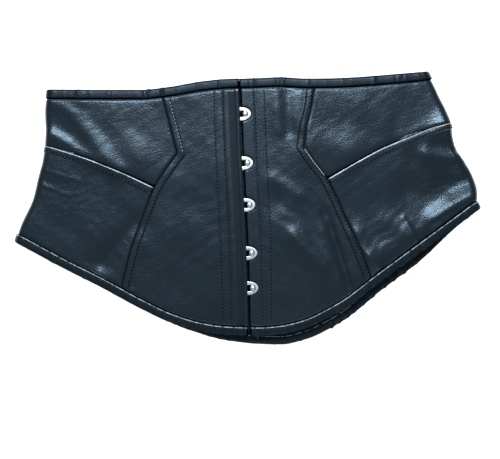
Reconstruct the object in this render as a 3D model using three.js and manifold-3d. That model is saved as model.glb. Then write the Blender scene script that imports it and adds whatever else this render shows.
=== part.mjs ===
// A corset belt in dark leather that closes at the front with a busk, as it lies flat
// on its back. Millimetres. +X runs across the belt, +Y from the hem up to the top
// edge and +Z out of the front layer.
//
// The belt is two halves that meet at the centre front and at the centre back. Each
// half is one curved sheet, worked out as a grid of rows and columns: a row starts at
// the centre front, crosses the front layer, turns round the side fold and comes back
// along the back layer. Panels and bindings are cut from that one grid, so they meet.
import * as THREE from 'three';
import { mergeVertices } from 'three/addons/utils/BufferGeometryUtils.js';
import Module from 'manifold-3d';

const wasm = await Module();
wasm.setup();

// The belt as it lies
const BELT_WIDTH = 465.5;
const BELT_LENGTH = 273;
const INNER_GAP = 12;
const SIDE_REACH = 7;
const SIDE_WRAP = 55;
const BACK_DROP = 2;

// Leather walls and the double layers along the seams
const WALL = 2.5;
const SEAM_GAP = 0.4;
const FELL_WIDTH = 6.5;
const FELL_RISE = 0.9;
const STRIP_WIDTH = 7;
const STRIP_RISE = 0.7;
const STEP_EDGE = 1.2;

// Folds in the lying leather
const FOLD_HEIGHT = 3;
const FOLD_SPREAD = 14;

// Bindings, a tape that is folded over each edge
const TAPE = 1;
const TAPE_FIT = 0.3;
const BINDING_WIDTH = 9;
const BINDING_NOSE = 1.6;
const LIFT_RUN = 16;
const LEAN_RUN = 25;
const PIN_RUN = 60;

// Busk
const FRONT_GAP = 2;
const BAND_WIDTH = 16;
const BAND_RISE = 0.6;
const BUSK_OVER = 1.4;
const BUSK_UNDER = 1.35;
const BUSK_RUN = 20;
const LOOP_REACH = 10.8;
const LOOP_WIDTH = 13.4;
const LOOP_STRAIGHT = 0.6;
const LOOP_TONGUE = 7;
const LOOP_THICK = 1.2;
const METAL_FIT = 0.3;
const EYE_RADIUS = 3.1;
const EYE_PLACE = 2.2;
const EYE_START = -3;
const SLOT_RADIUS = 1.9;
const STUD_PLACE = 5.2;
const STUD_RADIUS = 2.9;
const STUD_RIM = 0.5;
const STUD_DOME = 1.3;
const POST_RADIUS = 1.3;
const FLANGE_RADIUS = 2.8;
const FLANGE_THICK = 0.8;

// The hidden strip that joins the back halves
const PLACKET_WIDTH = 60;
const PLACKET_THICK = 2;
const PLACKET_INSET = 8;

// How finely the grid of a half is cut
const LOWER_ROWS = 8;
const CORNER_ROWS = 3;
const UPPER_ROWS = 5;
const FRONT_COLUMNS = 6;
const SIDE_COLUMNS = 9;
const TURN_COLUMNS = 8;
const WRAP_COLUMNS = 2;
const BACK_COLUMNS = 6;
const ROUND_SIDES = 12;

// Heights of the edges across the belt. x is a share of BELT_WIDTH from the left, the
// other columns are shares of BELT_LENGTH from the lowest point.
const EDGES = [
  { x: 0.020, top: 0.932, hem: 0.360, backHem: 0.360 },
  { x: 0.098, top: 0.932, hem: 0.288, backHem: 0.288 },
  { x: 0.184, top: 0.931, hem: 0.214, backHem: 0.214 },
  { x: 0.270, top: 0.931, hem: 0.135, backHem: 0.134 },
  { x: 0.334, top: 0.942, hem: 0.084, backHem: 0.080 },
  { x: 0.398, top: 0.961, hem: 0.051, backHem: 0.040 },
  { x: 0.452, top: 0.970, hem: 0.038, backHem: 0.016 },
  { x: 0.525, top: 0.974, hem: 0.034, backHem: 0.002 },
  { x: 0.570, top: 0.977, hem: 0.040, backHem: 0.000 },
  { x: 0.625, top: 0.972, hem: 0.062, backHem: 0.019 },
  { x: 0.678, top: 0.973, hem: 0.104, backHem: 0.060 },
  { x: 0.721, top: 0.976, hem: 0.148, backHem: 0.106 },
  { x: 0.785, top: 0.984, hem: 0.231, backHem: 0.196 },
  { x: 0.871, top: 0.996, hem: 0.339, backHem: 0.307 },
  { x: 0.936, top: 1.004, hem: 0.421, backHem: 0.410 },
  { x: 0.990, top: 1.010, hem: 0.490, backHem: 0.487 },
];

// The centre lines from the hem up, in the same shares
const CENTRE_FRONT = [
  { y: 0.03, x: 0.502 },
  { y: 0.31, x: 0.498 },
  { y: 0.51, x: 0.493 },
  { y: 0.71, x: 0.487 },
  { y: 0.97, x: 0.481 },
];
const CENTRE_BACK = [
  { y: 0.00, x: 0.522 },
  { y: 0.97, x: 0.500 },
];

// Where the busk loops sit, as shares of BELT_LENGTH up the centre front
const LOOP_HEIGHTS = [0.842, 0.663, 0.511, 0.336, 0.209];

// The side folds and seams of each half, from the hem up, in the same shares. tilt is
// the rise of the leather towards the fold, in degrees. The long seam turns a corner
// between its two tables, and the cross seam runs from it to the side fold.
const HALVES = [
  {
    name: 'left',
    sign: -1,
    fold: [
      { y: 0.380, x: 0.000, tilt: 27 },
      { y: 0.417, x: 0.008, tilt: 26 },
      { y: 0.472, x: 0.024, tilt: 23 },
      { y: 0.531, x: 0.039, tilt: 18 },
      { y: 0.619, x: 0.052, tilt: 15 },
      { y: 0.677, x: 0.061, tilt: 14 },
      { y: 0.758, x: 0.066, tilt: 11 },
      { y: 0.860, x: 0.066, tilt: 4 },
      { y: 0.930, x: 0.068, tilt: 2 },
    ],
    seamBelow: [
      { y: 0.212, x: 0.230 },
      { y: 0.348, x: 0.250 },
      { y: 0.490, x: 0.280 },
      { y: 0.575, x: 0.300 },
      { y: 0.641, x: 0.324 },
      { y: 0.699, x: 0.349 },
    ],
    seamAbove: [
      { y: 0.699, x: 0.349 },
      { y: 0.824, x: 0.330 },
      { y: 0.904, x: 0.318 },
    ],
    cross: [
      { x: 0.060, y: 0.732 },
      { x: 0.119, y: 0.703 },
      { x: 0.184, y: 0.663 },
      { x: 0.248, y: 0.617 },
      { x: 0.310, y: 0.567 },
    ],
  },
  {
    name: 'right',
    sign: 1,
    fold: [
      { y: 0.501, x: 1.000, tilt: 35 },
      { y: 0.531, x: 0.992, tilt: 31 },
      { y: 0.582, x: 0.986, tilt: 27 },
      { y: 0.622, x: 0.979, tilt: 24 },
      { y: 0.670, x: 0.963, tilt: 22 },
      { y: 0.714, x: 0.946, tilt: 18 },
      { y: 0.772, x: 0.937, tilt: 16 },
      { y: 0.813, x: 0.933, tilt: 14 },
      { y: 0.860, x: 0.923, tilt: 12 },
      { y: 0.911, x: 0.908, tilt: 9 },
      { y: 0.970, x: 0.895, tilt: 6 },
      { y: 0.994, x: 0.888, tilt: 5 },
    ],
    seamBelow: [
      { y: 0.256, x: 0.762 },
      { y: 0.362, x: 0.738 },
      { y: 0.480, x: 0.706 },
      { y: 0.538, x: 0.691 },
      { y: 0.608, x: 0.670 },
      { y: 0.673, x: 0.641 },
      { y: 0.725, x: 0.620 },
    ],
    seamAbove: [
      { y: 0.725, x: 0.620 },
      { y: 0.787, x: 0.625 },
      { y: 0.860, x: 0.635 },
      { y: 0.941, x: 0.642 },
    ],
    cross: [
      { x: 0.650, y: 0.586 },
      { x: 0.721, y: 0.657 },
      { x: 0.785, y: 0.716 },
      { x: 0.850, y: 0.763 },
      { x: 0.893, y: 0.792 },
      { x: 0.950, y: 0.816 },
    ],
  },
];

// Long ridges and hollows in the front layer. The ends are shares as above, spread is
// a share of FOLD_SPREAD to each side and rise a share of FOLD_HEIGHT.
const FOLDS = [
  { x1: 0.068, y1: 0.783, x2: 0.173, y2: 0.666, spread: 0.50, rise: 0.80 },
  { x1: 0.111, y1: 0.882, x2: 0.222, y2: 0.633, spread: 0.65, rise: 0.65 },
  { x1: 0.839, y1: 0.750, x2: 0.936, y2: 0.809, spread: 1.00, rise: 0.95 },
  { x1: 0.882, y1: 0.695, x2: 0.979, y2: 0.666, spread: 0.60, rise: 0.55 },
  { x1: 0.839, y1: 0.567, x2: 0.985, y2: 0.604, spread: 1.00, rise: -1.10 },
  { x1: 0.893, y1: 0.450, x2: 0.991, y2: 0.516, spread: 0.75, rise: 0.50 },
  { x1: 0.580, y1: 0.460, x2: 0.689, y2: 0.220, spread: 1.10, rise: 0.50 },
  { x1: 0.665, y1: 0.476, x2: 0.716, y2: 0.216, spread: 0.40, rise: -0.40 },
  { x1: 0.259, y1: 0.439, x2: 0.173, y2: 0.275, spread: 0.90, rise: -0.50 },
];

// Heights that follow from the sizes above
const FRONT_HEIGHT = WALL + INNER_GAP + WALL / 2;
const TAPE_COVER = TAPE + TAPE_FIT;

const X = (share) => (share - 0.5) * BELT_WIDTH;
const Y = (share) => (share - 0.5) * BELT_LENGTH;
const { lerp, degToRad } = THREE.MathUtils;

// The shares 0 to 1 in equal steps
function steps(count) {
  return Array.from({ length: count + 1 }, (_, k) => k / count);
}

// A smooth curve through the knots [at, value] that swings no further than they do
function through(knots) {
  const last = knots.length - 1;
  const rises = knots.slice(1).map(([at, value], k) => (value - knots[k][1]) / (at - knots[k][0]));
  const slopes = knots.map((_, k) => {
    const before = rises[Math.max(k - 1, 0)];
    const after = rises[Math.min(k, last - 1)];
    return before * after <= 0 ? 0 : (2 * before * after) / (before + after);
  });
  return (at) => {
    if (at <= knots[0][0]) {
      return knots[0][1] + slopes[0] * (at - knots[0][0]);
    }
    if (at >= knots[last][0]) {
      return knots[last][1] + slopes[last] * (at - knots[last][0]);
    }
    const k = knots.findIndex((knot) => knot[0] > at) - 1;
    const width = knots[k + 1][0] - knots[k][0];
    const t = (at - knots[k][0]) / width;
    const fromStart = (1 - t) ** 2 * ((1 + 2 * t) * knots[k][1] + t * width * slopes[k]);
    const fromEnd = t ** 2 * ((3 - 2 * t) * knots[k + 1][1] - (1 - t) * width * slopes[k + 1]);
    return fromStart + fromEnd;
  };
}

// Where a rising function passes zero between two values
function solve(rising, low, high) {
  let [start, end] = [low, high];
  for (let k = 0; k < 50; k += 1) {
    const middle = (start + end) / 2;
    if (rising(middle) < 0) {
      start = middle;
    } else {
      end = middle;
    }
  }
  return (start + end) / 2;
}

const topEdge = through(EDGES.map((row) => [X(row.x), Y(row.top)]));
const frontHem = through(EDGES.map((row) => [X(row.x), Y(row.hem)]));
const backHem = through(EDGES.map((row) => [X(row.x), Y(row.backHem)]));
const backTop = (x) => topEdge(x) - BACK_DROP;
const centreFront = through(CENTRE_FRONT.map((row) => [Y(row.y), X(row.x)]));
const centreBack = through(CENTRE_BACK.map((row) => [Y(row.y), X(row.x)]));

// How freely the leather folds at a place: 0 under a binding, 1 from LIFT_RUN inside it
function freedom(place) {
  const fromEdge = Math.min(topEdge(place.x) - place.y, place.y - frontHem(place.x));
  return THREE.MathUtils.smoothstep(fromEdge, BINDING_WIDTH, BINDING_WIDTH + LIFT_RUN);
}

// Height of the front layer's middle over a place, with its folds and the busk's step
function frontHeight(place, sign) {
  const free = freedom(place);
  let height = FRONT_HEIGHT;
  for (const fold of FOLDS) {
    const start = new THREE.Vector2(X(fold.x1), Y(fold.y1));
    const along = new THREE.Vector2(X(fold.x2), Y(fold.y2)).sub(start);
    const offset = place.clone().sub(start);
    const t = THREE.MathUtils.clamp(offset.dot(along) / along.lengthSq(), 0, 1);
    const away = offset.addScaledVector(along, -t).length() / (FOLD_SPREAD * fold.spread);
    height += free * FOLD_HEIGHT * fold.rise * Math.exp(-(away ** 2));
  }
  const fromCentre = (place.x - centreFront(place.y)) / BUSK_RUN;
  const busk = sign < 0 ? BUSK_OVER : -BUSK_UNDER;
  return height + busk * Math.exp(-(fromCentre ** 2));
}

// One edge of the belt in plan. It gives the outer and inner line of the binding at x,
// square to the edge, but leaning as the centre line or side fold does at its ends.
function edgeLine(height, inward, ends) {
  return (x) => {
    const slope = (height(x + 1) - height(x - 1)) / 2;
    const across = new THREE.Vector2(-slope, 1).normalize().multiplyScalar(inward);
    for (const end of ends) {
      const near = Math.max(0, 1 - Math.abs(x - end.outer.x) / LEAN_RUN);
      across.lerp(end.inner.clone().sub(end.outer).normalize(), near ** 2);
    }
    const outer = new THREE.Vector2(x, height(x));
    const inner = outer.clone().addScaledVector(across.normalize(), BINDING_WIDTH);
    return { outer, inner };
  };
}

// The same edge height, bent over a short run so that it passes through a point
function pinned(height, point) {
  const miss = point.y - height(point.x);
  return (x) => height(x) + miss * Math.max(0, 1 - Math.abs(x - point.x) / PIN_RUN) ** 2;
}

// A point between two side points, bent by what the patch's two end curves bend
function patch(start, end, s, t, low, high) {
  const point = start.clone().lerp(end, s);
  for (const [curve, amount] of [[low, 1 - t], [high, t]]) {
    const bend = curve(s).sub(curve(0).lerp(curve(1), s));
    point.addScaledVector(bend, amount);
  }
  return point;
}

// The end of an edge where it meets a centre line
function centreEnd(height, line, inward) {
  const x = solve((at) => at - line(height(at)), -BELT_WIDTH / 2, BELT_WIDTH / 2);
  const outer = new THREE.Vector2(x, height(x));
  const lean = new THREE.Vector2(line(outer.y + inward) - x, inward).normalize();
  return { outer, inner: outer.clone().addScaledVector(lean, BINDING_WIDTH) };
}

// The plan of one half: its rows, each with its stretches as functions of a share
function planHalf(half) {
  const { sign } = half;
  const foldX = through(half.fold.map((row) => [Y(row.y), X(row.x)]));
  const tilt = through(half.fold.map((row) => [Y(row.y), degToRad(row.tilt)]));
  const below = through(half.seamBelow.map((row) => [Y(row.y), X(row.x)]));
  const above = through(half.seamAbove.map((row) => [Y(row.y), X(row.x)]));
  const cross = through(half.cross.map((row) => [X(row.x), Y(row.y)]));
  const cornerY = Y(half.seamAbove[0].y);
  const seam = (y) => new THREE.Vector2(y < cornerY ? below(y) : above(y), y);
  const centre = (y) => new THREE.Vector2(centreFront(y), y);
  const outward = (w) => new THREE.Vector2(sign * Math.cos(tilt(w)), Math.sin(tilt(w)));
  const turn = (w) => {
    const place = new THREE.Vector2(foldX(w), w);
    return place.addScaledVector(outward(w), -(SIDE_REACH + WALL / 2));
  };

  // Where the turn meets the edges and the cross seam
  const low = Y(0.2);
  const high = Y(1.1);
  const onEdge = (height) => solve((w) => turn(w).y - height(turn(w).x), low, high);
  const hemW = onEdge(frontHem);
  const topW = onEdge(topEdge);
  const crossW = onEdge(cross);
  const hemInnerW = solve((w) => turn(w).distanceTo(turn(hemW)) - BINDING_WIDTH, hemW, high);
  const topInnerW = solve((w) => BINDING_WIDTH - turn(w).distanceTo(turn(topW)), low, topW);
  const hemEnd = { outer: turn(hemW), inner: turn(hemInnerW) };
  const topEnd = { outer: turn(topW), inner: turn(topInnerW) };

  // The four edges of the half, and the feet of the long seam on them
  const frontEnds = {
    hem: centreEnd(frontHem, centreFront, 1),
    top: centreEnd(topEdge, centreFront, -1),
  };
  const hemLine = edgeLine(frontHem, 1, [frontEnds.hem, hemEnd]);
  const topLine = edgeLine(topEdge, -1, [frontEnds.top, topEnd]);
  const backHemHeight = pinned(backHem, hemEnd.outer);
  const backTopHeight = pinned(backTop, topEnd.outer);
  const backEnds = {
    hem: centreEnd(backHemHeight, centreBack, 1),
    top: centreEnd(backTopHeight, centreBack, -1),
  };
  const backHemLine = edgeLine(backHemHeight, 1, [backEnds.hem, hemEnd]);
  const backTopLine = edgeLine(backTopHeight, -1, [backEnds.top, topEnd]);
  const foot = (line, from, to) => {
    const miss = (s) => {
      const { inner } = line(lerp(from, to, s));
      return sign * (inner.x - seam(inner.y).x);
    };
    return lerp(from, to, solve(miss, 0, 1));
  };
  const hemFoot = foot(hemLine, frontEnds.hem.outer.x, hemEnd.outer.x);
  const topFoot = foot(topLine, frontEnds.top.outer.x, topEnd.outer.x);

  // A stretch of an edge as a function of the share along it
  const stretch = (line, from, to, side) => (s) => line(lerp(from, to, s))[side];
  const edgeRow = (hem, side) => {
    const [line, backLine] = hem ? [hemLine, backHemLine] : [topLine, backTopLine];
    const start = hem ? frontEnds.hem : frontEnds.top;
    const foldEnd = hem ? hemEnd : topEnd;
    const backEnd = hem ? backEnds.hem : backEnds.top;
    const seamFoot = hem ? hemFoot : topFoot;
    const edgeW = hem ? hemW : topW;
    const innerW = hem ? hemInnerW : topInnerW;
    return {
      bound: true,
      w: side === 'outer' ? edgeW : innerW,
      front: stretch(line, start.outer.x, seamFoot, side),
      side: stretch(line, seamFoot, foldEnd.outer.x, side),
      back: stretch(backLine, foldEnd.outer.x, backEnd.outer.x, side),
    };
  };
  const hemInner = edgeRow(true, 'inner');
  const topInner = edgeRow(false, 'inner');

  // The rows between the bindings
  const junctionY = solve((y) => y - cross(seam(y).x), low, cornerY);
  const junction = seam(junctionY);
  const crossEnd = turn(crossW);
  const crossCurve = (s) => {
    const x = lerp(junction.x, crossEnd.x, s);
    return new THREE.Vector2(x, cross(x));
  };
  const hemSeamY = hemInner.front(1).y;
  const topSeamY = topInner.front(1).y;
  const hemCentreY = hemInner.front(0).y;
  const topCentreY = topInner.front(0).y;
  const backLowY = hemInner.back(1).y;
  const backHighY = topInner.back(1).y;
  const innerRow = (seamY, centreY, lower) => {
    const [lowY, highY] = lower ? [hemSeamY, junctionY] : [junctionY, topSeamY];
    const [lowW, highW] = lower ? [hemInnerW, crossW] : [crossW, topInnerW];
    const [lowCurve, highCurve] = lower ? [hemInner.side, crossCurve] : [crossCurve, topInner.side];
    const sideT = (seamY - lowY) / (highY - lowY);
    const frontT = (centreY - hemCentreY) / (topCentreY - hemCentreY);
    const w = lerp(lowW, highW, sideT);
    const backT = (w - hemInnerW) / (topInnerW - hemInnerW);
    const backCentre = new THREE.Vector2(0, lerp(backLowY, backHighY, backT));
    backCentre.x = centreBack(backCentre.y);
    return {
      bound: false,
      w,
      front: (s) => patch(centre(centreY), seam(seamY), s, frontT, hemInner.front, topInner.front),
      side: (s) => patch(seam(seamY), turn(w), s, sideT, lowCurve, highCurve),
      back: (s) => patch(turn(w), backCentre, s, backT, hemInner.back, topInner.back),
    };
  };
  const lowerRun = junction.distanceTo(hemInner.front(1));
  const stripShare = STRIP_WIDTH / lowerRun;
  const stripStep = (STRIP_WIDTH + STEP_EDGE) / lowerRun;
  const lowerSteps = steps(LOWER_ROWS).slice(1).map((t) => t * (1 - stripStep));
  lowerSteps.push(1 - stripShare, 1);
  const rows = [edgeRow(true, 'outer'), hemInner];
  for (const t of lowerSteps) {
    rows.push(innerRow(lerp(hemSeamY, junctionY, t), lerp(hemCentreY, junctionY, t), true));
  }
  const junctionRow = rows.length - 1;
  for (const t of steps(CORNER_ROWS).slice(1)) {
    const y = lerp(junctionY, cornerY, t);
    rows.push(innerRow(y, y, false));
  }
  for (const t of steps(UPPER_ROWS).slice(1, -1)) {
    rows.push(innerRow(lerp(cornerY, topSeamY, t), lerp(cornerY, topCentreY, t), false));
  }
  rows.push(topInner, edgeRow(false, 'outer'));
  return { rows, turn, outward, junctionRow, stripRow: junctionRow - 1 };
}

// Shares along a row's front stretch, with columns at the busk band and the fell
function frontShares(length) {
  const bandEnd = (BAND_WIDTH + STEP_EDGE) / length;
  const fellStart = 1 - (FELL_WIDTH + STEP_EDGE) / length;
  const middle = steps(FRONT_COLUMNS).map((t) => lerp(bandEnd, fellStart, t));
  return [0, BAND_WIDTH / length, ...middle, 1 - FELL_WIDTH / length, 1];
}

// Shares along a row's back stretch, with a column at the back seam
function backShares(length) {
  const seamShare = SIDE_WRAP / length;
  const wrap = steps(WRAP_COLUMNS).map((t) => t * seamShare);
  return [...wrap, ...steps(BACK_COLUMNS).slice(1).map((t) => lerp(seamShare, 1, t))];
}

// How much of the tape's cover a place still needs under it, 1 at a binding, 0 far off
function coverShare(place, inner) {
  const t = THREE.MathUtils.clamp(place.distanceTo(inner) / LIFT_RUN, 0, 1);
  return 1 - t * t * (3 - 2 * t);
}

// The grid of one half: for each row and column a point of the leather's middle and
// the direction out of it, and the columns where panels meet
function gridHalf(half) {
  const { sign } = half;
  const plan = planHalf(half);
  const inner = [plan.rows[1], plan.rows[plan.rows.length - 2]];
  const points = plan.rows.map((row, j) => {
    const isHem = j < 2;
    const measured = row.bound ? inner[isHem ? 0 : 1] : row;
    const frontLength = measured.front(0).distanceTo(measured.front(1));
    const backLength = measured.back(0).distanceTo(measured.back(1));
    const cover = (at, s) => {
      const shares = inner.map((edge) => coverShare(at, edge.back(s)));
      return TAPE_COVER * (row.bound ? 1 : Math.max(...shares));
    };
    const front = [
      ...frontShares(frontLength).map((s) => row.front(s)),
      ...steps(SIDE_COLUMNS).slice(1).map((s) => row.side(s)),
    ].map((place) => new THREE.Vector3(place.x, place.y, frontHeight(place, sign)));
    const back = backShares(backLength).map((s) => {
      const place = row.back(s);
      return new THREE.Vector3(place.x, place.y, WALL / 2 + cover(place, s));
    });
    const start = front[front.length - 1];
    const end = back[0];
    const reach = SIDE_REACH - cover(row.back(0), 0);
    const outward = plan.outward(row.w);
    const round = steps(TURN_COLUMNS).slice(1, -1).map((t) => {
      const angle = t * Math.PI;
      const out = reach * Math.sin(angle);
      const height = lerp(start.z, end.z, (1 - Math.cos(angle)) / 2);
      return new THREE.Vector3(start.x + outward.x * out, start.y + outward.y * out, height);
    });
    return [...front, ...round, ...back];
  });
  const last = points[0].length - 1;
  const columns = {
    band: 1,
    fell: FRONT_COLUMNS + 3,
    seam: FRONT_COLUMNS + 4,
    turned: last - BACK_COLUMNS - WRAP_COLUMNS,
    backSeam: last - BACK_COLUMNS,
    last,
  };
  const cells = points.map((row, j) => row.map((point, i) => {
    const right = points[j][Math.min(i + 1, last)];
    const left = points[j][Math.max(i - 1, 0)];
    const up = points[Math.min(j + 1, points.length - 1)][i];
    const down = points[Math.max(j - 1, 0)][i];
    const normal = right.clone().sub(left).cross(up.clone().sub(down));
    return { point, normal: normal.multiplyScalar(sign).normalize() };
  }));
  return { cells, columns, plan };
}

// A closed body from corner points and triangles, turned to face out
function body(points, triangles) {
  const geometry = new THREE.BufferGeometry().setFromPoints(points);
  let volume = 0;
  for (const [a, b, c] of triangles) {
    volume += points[a].dot(points[b].clone().cross(points[c]));
  }
  const facing = volume > 0 ? triangles : triangles.map(([a, b, c]) => [a, c, b]);
  geometry.setIndex(facing.flat());
  geometry.computeVertexNormals();
  return geometry;
}

// A sheet with thickness, from the grids of its two faces
function shell(outer, inner) {
  const rows = outer.length;
  const columns = outer[0].length;
  const points = [...outer.flat(), ...inner.flat()];
  const at = (j, i) => j * columns + i;
  const under = rows * columns;
  const triangles = [];
  for (let j = 0; j < rows - 1; j += 1) {
    for (let i = 0; i < columns - 1; i += 1) {
      const [a, b, c, d] = [at(j, i), at(j, i + 1), at(j + 1, i + 1), at(j + 1, i)];
      triangles.push([a, b, c], [a, c, d]);
      triangles.push([under + a, under + c, under + b], [under + a, under + d, under + c]);
    }
  }
  const rim = [];
  for (let i = 0; i < columns - 1; i += 1) {
    rim.push(at(0, i));
  }
  for (let j = 0; j < rows - 1; j += 1) {
    rim.push(at(j, columns - 1));
  }
  for (let i = columns - 1; i > 0; i -= 1) {
    rim.push(at(rows - 1, i));
  }
  for (let j = rows - 1; j > 0; j -= 1) {
    rim.push(at(j, 0));
  }
  rim.forEach((a, k) => {
    const b = rim[(k + 1) % rim.length];
    triangles.push([a, under + a, under + b], [a, under + b, b]);
  });
  return body(points, triangles);
}

// Moves a cell's point towards its neighbour's by a distance
function shift(cell, next, distance) {
  const point = cell.point.clone();
  const run = next.point.distanceTo(point);
  point.lerp(next.point, distance / run);
  return { ...cell, point };
}

// One leather panel: the rows and columns from and to which it runs, how far its
// outer face rises at each cell, and the gaps that it keeps at its sides
function panel(grid, { rows, columns, rise, gaps }) {
  const { cells } = grid;
  const [firstRow, lastRow] = rows;
  const [firstColumn, lastColumn] = columns;
  const cut = [];
  for (let j = firstRow; j <= lastRow; j += 1) {
    const row = [];
    for (let i = firstColumn; i <= lastColumn; i += 1) {
      row.push({ ...cells[j][i], rise: rise ? rise(j, i) : 0 });
    }
    const end = row.length - 1;
    row[0] = shift(row[0], row[1], gaps.start);
    row[end] = shift(row[end], row[end - 1], gaps.end);
    cut.push(row);
  }
  const top = cut.length - 1;
  cut[0] = cut[0].map((cell, i) => shift(cell, cut[1][i], gaps.bottom));
  cut[top] = cut[top].map((cell, i) => shift(cell, cut[top - 1][i], gaps.top));
  const face = (height) => cut.map((row) => row.map((cell) => {
    return cell.point.clone().addScaledVector(cell.normal, height(cell));
  }));
  return shell(face((cell) => WALL / 2 + cell.rise), face(() => -WALL / 2));
}

// One binding: a tape folded over an edge of the half, from centre front to back
function binding(grid, edgeRow, innerRow) {
  const { cells, columns } = grid;
  const close = WALL / 2 + TAPE_FIT;
  const far = close + TAPE;
  const stations = cells[edgeRow].map((outer, i) => ({ outer, inner: cells[innerRow][i] }));
  const trimmed = (at, next, distance) => ({
    outer: shift(stations[at].outer, stations[next].outer, distance),
    inner: shift(stations[at].inner, stations[next].inner, distance),
  });
  const { last } = columns;
  const starts = trimmed(0, 1, FRONT_GAP / 2);
  const ends = trimmed(last, last - 1, SEAM_GAP / 2);
  stations[0] = starts;
  stations[last] = ends;
  const section = (run) => {
    const lower = [
      [0, -far],
      [run - BINDING_NOSE, -far],
      [run, BINDING_NOSE - far],
    ];
    const hollow = [[run - TAPE, -close], [0, -close]];
    const mirror = (list) => list.map(([along, height]) => [along, -height]).reverse();
    return [...lower, ...mirror(lower), ...mirror(hollow), ...hollow];
  };
  const rings = stations.map(({ outer, inner }) => {
    const run = inner.point.distanceTo(outer.point);
    return section(run).map(([along, height]) => {
      const normal = inner.normal.clone().lerp(outer.normal, along / run).normalize();
      const point = inner.point.clone().lerp(outer.point, along / run);
      return point.addScaledVector(normal, height);
    });
  });
  const count = rings[0].length;
  const triangles = [];
  for (let k = 0; k < rings.length - 1; k += 1) {
    for (let n = 0; n < count; n += 1) {
      const next = (n + 1) % count;
      const [a, b] = [k * count + n, k * count + next];
      triangles.push([a, b, b + count], [a, b + count, a + count]);
    }
  }
  const outline = section(BINDING_WIDTH).map(([along, height]) => new THREE.Vector2(along, height));
  const end = (rings.length - 1) * count;
  for (const [a, b, c] of THREE.ShapeUtils.triangulateShape(outline, [])) {
    triangles.push([a, c, b], [end + a, end + b, end + c]);
  }
  return body(rings.flat(), triangles);
}

// A busk loop's plate in its own frame: x across the centre front, z through it
function loopPlate() {
  const half = LOOP_WIDTH / 2;
  const plate = new THREE.Shape();
  plate.moveTo(-LOOP_TONGUE, -half);
  plate.lineTo(LOOP_STRAIGHT, -half);
  plate.absellipse(LOOP_STRAIGHT, 0, LOOP_REACH - LOOP_STRAIGHT, half, -Math.PI / 2, Math.PI / 2);
  plate.lineTo(-LOOP_TONGUE, half);
  const mouth = Math.asin(SLOT_RADIUS / EYE_RADIUS);
  const eye = new THREE.Path();
  eye.absarc(EYE_PLACE, 0, EYE_RADIUS, mouth, Math.PI / 2);
  eye.lineTo(EYE_START, EYE_RADIUS);
  eye.lineTo(EYE_START, -EYE_RADIUS);
  eye.absarc(EYE_PLACE, 0, EYE_RADIUS, -Math.PI / 2, -mouth);
  eye.absarc(STUD_PLACE, 0, SLOT_RADIUS, -Math.PI / 2, Math.PI / 2);
  plate.holes.push(eye);
  const geometry = new THREE.ExtrudeGeometry(plate, {
    depth: LOOP_THICK,
    bevelEnabled: false,
    curveSegments: 6,
  });
  return geometry.translate(0, 0, -LOOP_THICK / 2);
}

// A busk stud turned about z: flange under the leather, post, rim and domed head
function stud(flangeTop, headBase) {
  const dome = steps(3).map((t) => {
    const angle = (t * Math.PI) / 2;
    const height = headBase + STUD_RIM + STUD_DOME * Math.sin(angle);
    return new THREE.Vector2(t < 1 ? STUD_RADIUS * Math.cos(angle) : 0, height);
  });
  const profile = [
    new THREE.Vector2(0, flangeTop - FLANGE_THICK),
    new THREE.Vector2(FLANGE_RADIUS, flangeTop - FLANGE_THICK),
    new THREE.Vector2(FLANGE_RADIUS, flangeTop),
    new THREE.Vector2(POST_RADIUS, flangeTop),
    new THREE.Vector2(POST_RADIUS, headBase),
    new THREE.Vector2(STUD_RADIUS, headBase),
    ...dome,
  ];
  return new THREE.LatheGeometry(profile, ROUND_SIDES).rotateX(Math.PI / 2);
}

// A geometry's shape alone, with its corners merged
function plain(geometry) {
  const bare = geometry.clone();
  bare.deleteAttribute('normal');
  bare.deleteAttribute('uv');
  return mergeVertices(bare, 1e-4);
}

function toSolid(geometry) {
  const bare = plain(geometry);
  return new wasm.Manifold(new wasm.Mesh({
    numProp: 3,
    vertProperties: new Float32Array(bare.attributes.position.array),
    triVerts: new Uint32Array(bare.index.array),
  }));
}

// A geometry with tools cut away from it
function carve(geometry, tools) {
  let solid = toSolid(geometry);
  for (const tool of tools) {
    solid = solid.subtract(toSolid(tool));
  }
  const mesh = solid.getMesh();
  const carved = new THREE.BufferGeometry();
  carved.setAttribute('position', new THREE.BufferAttribute(mesh.vertProperties, 3));
  carved.setIndex(new THREE.BufferAttribute(mesh.triVerts, 1));
  carved.computeVertexNormals();
  return carved;
}

// Where each loop sits: its place on the centre front, its turn and its height
function loopSeats() {
  return LOOP_HEIGHTS.map((share) => {
    const y = Y(share);
    const place = new THREE.Vector2(centreFront(y), y);
    const turn = -Math.atan(centreFront(y + 0.5) - centreFront(y - 0.5));
    const height = frontHeight(place, -1) + BAND_RISE / 2;
    const across = new THREE.Vector2(Math.cos(turn), Math.sin(turn));
    const studPlace = place.clone().addScaledVector(across, STUD_PLACE);
    return { place, turn, height, studPlace, studHeight: frontHeight(studPlace, 1) };
  });
}

// The pocket in the leather edge that holds a loop's tongue
function pocket(seat) {
  const length = LOOP_TONGUE + 2 * METAL_FIT;
  const slot = new THREE.BoxGeometry(
    length + FRONT_GAP,
    LOOP_WIDTH + 2 * METAL_FIT,
    LOOP_THICK + 2 * METAL_FIT,
  );
  slot.translate(FRONT_GAP / 2 - length / 2, 0, 0);
  slot.rotateZ(seat.turn);
  return slot.translate(seat.place.x, seat.place.y, seat.height);
}

// The hole in the leather that a stud's post passes through
function postHole(seat) {
  const drill = new THREE.CylinderGeometry(
    POST_RADIUS + METAL_FIT,
    POST_RADIUS + METAL_FIT,
    WALL * 4,
    ROUND_SIDES,
  );
  drill.rotateX(Math.PI / 2);
  return drill.translate(seat.studPlace.x, seat.studPlace.y, seat.studHeight);
}

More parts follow.
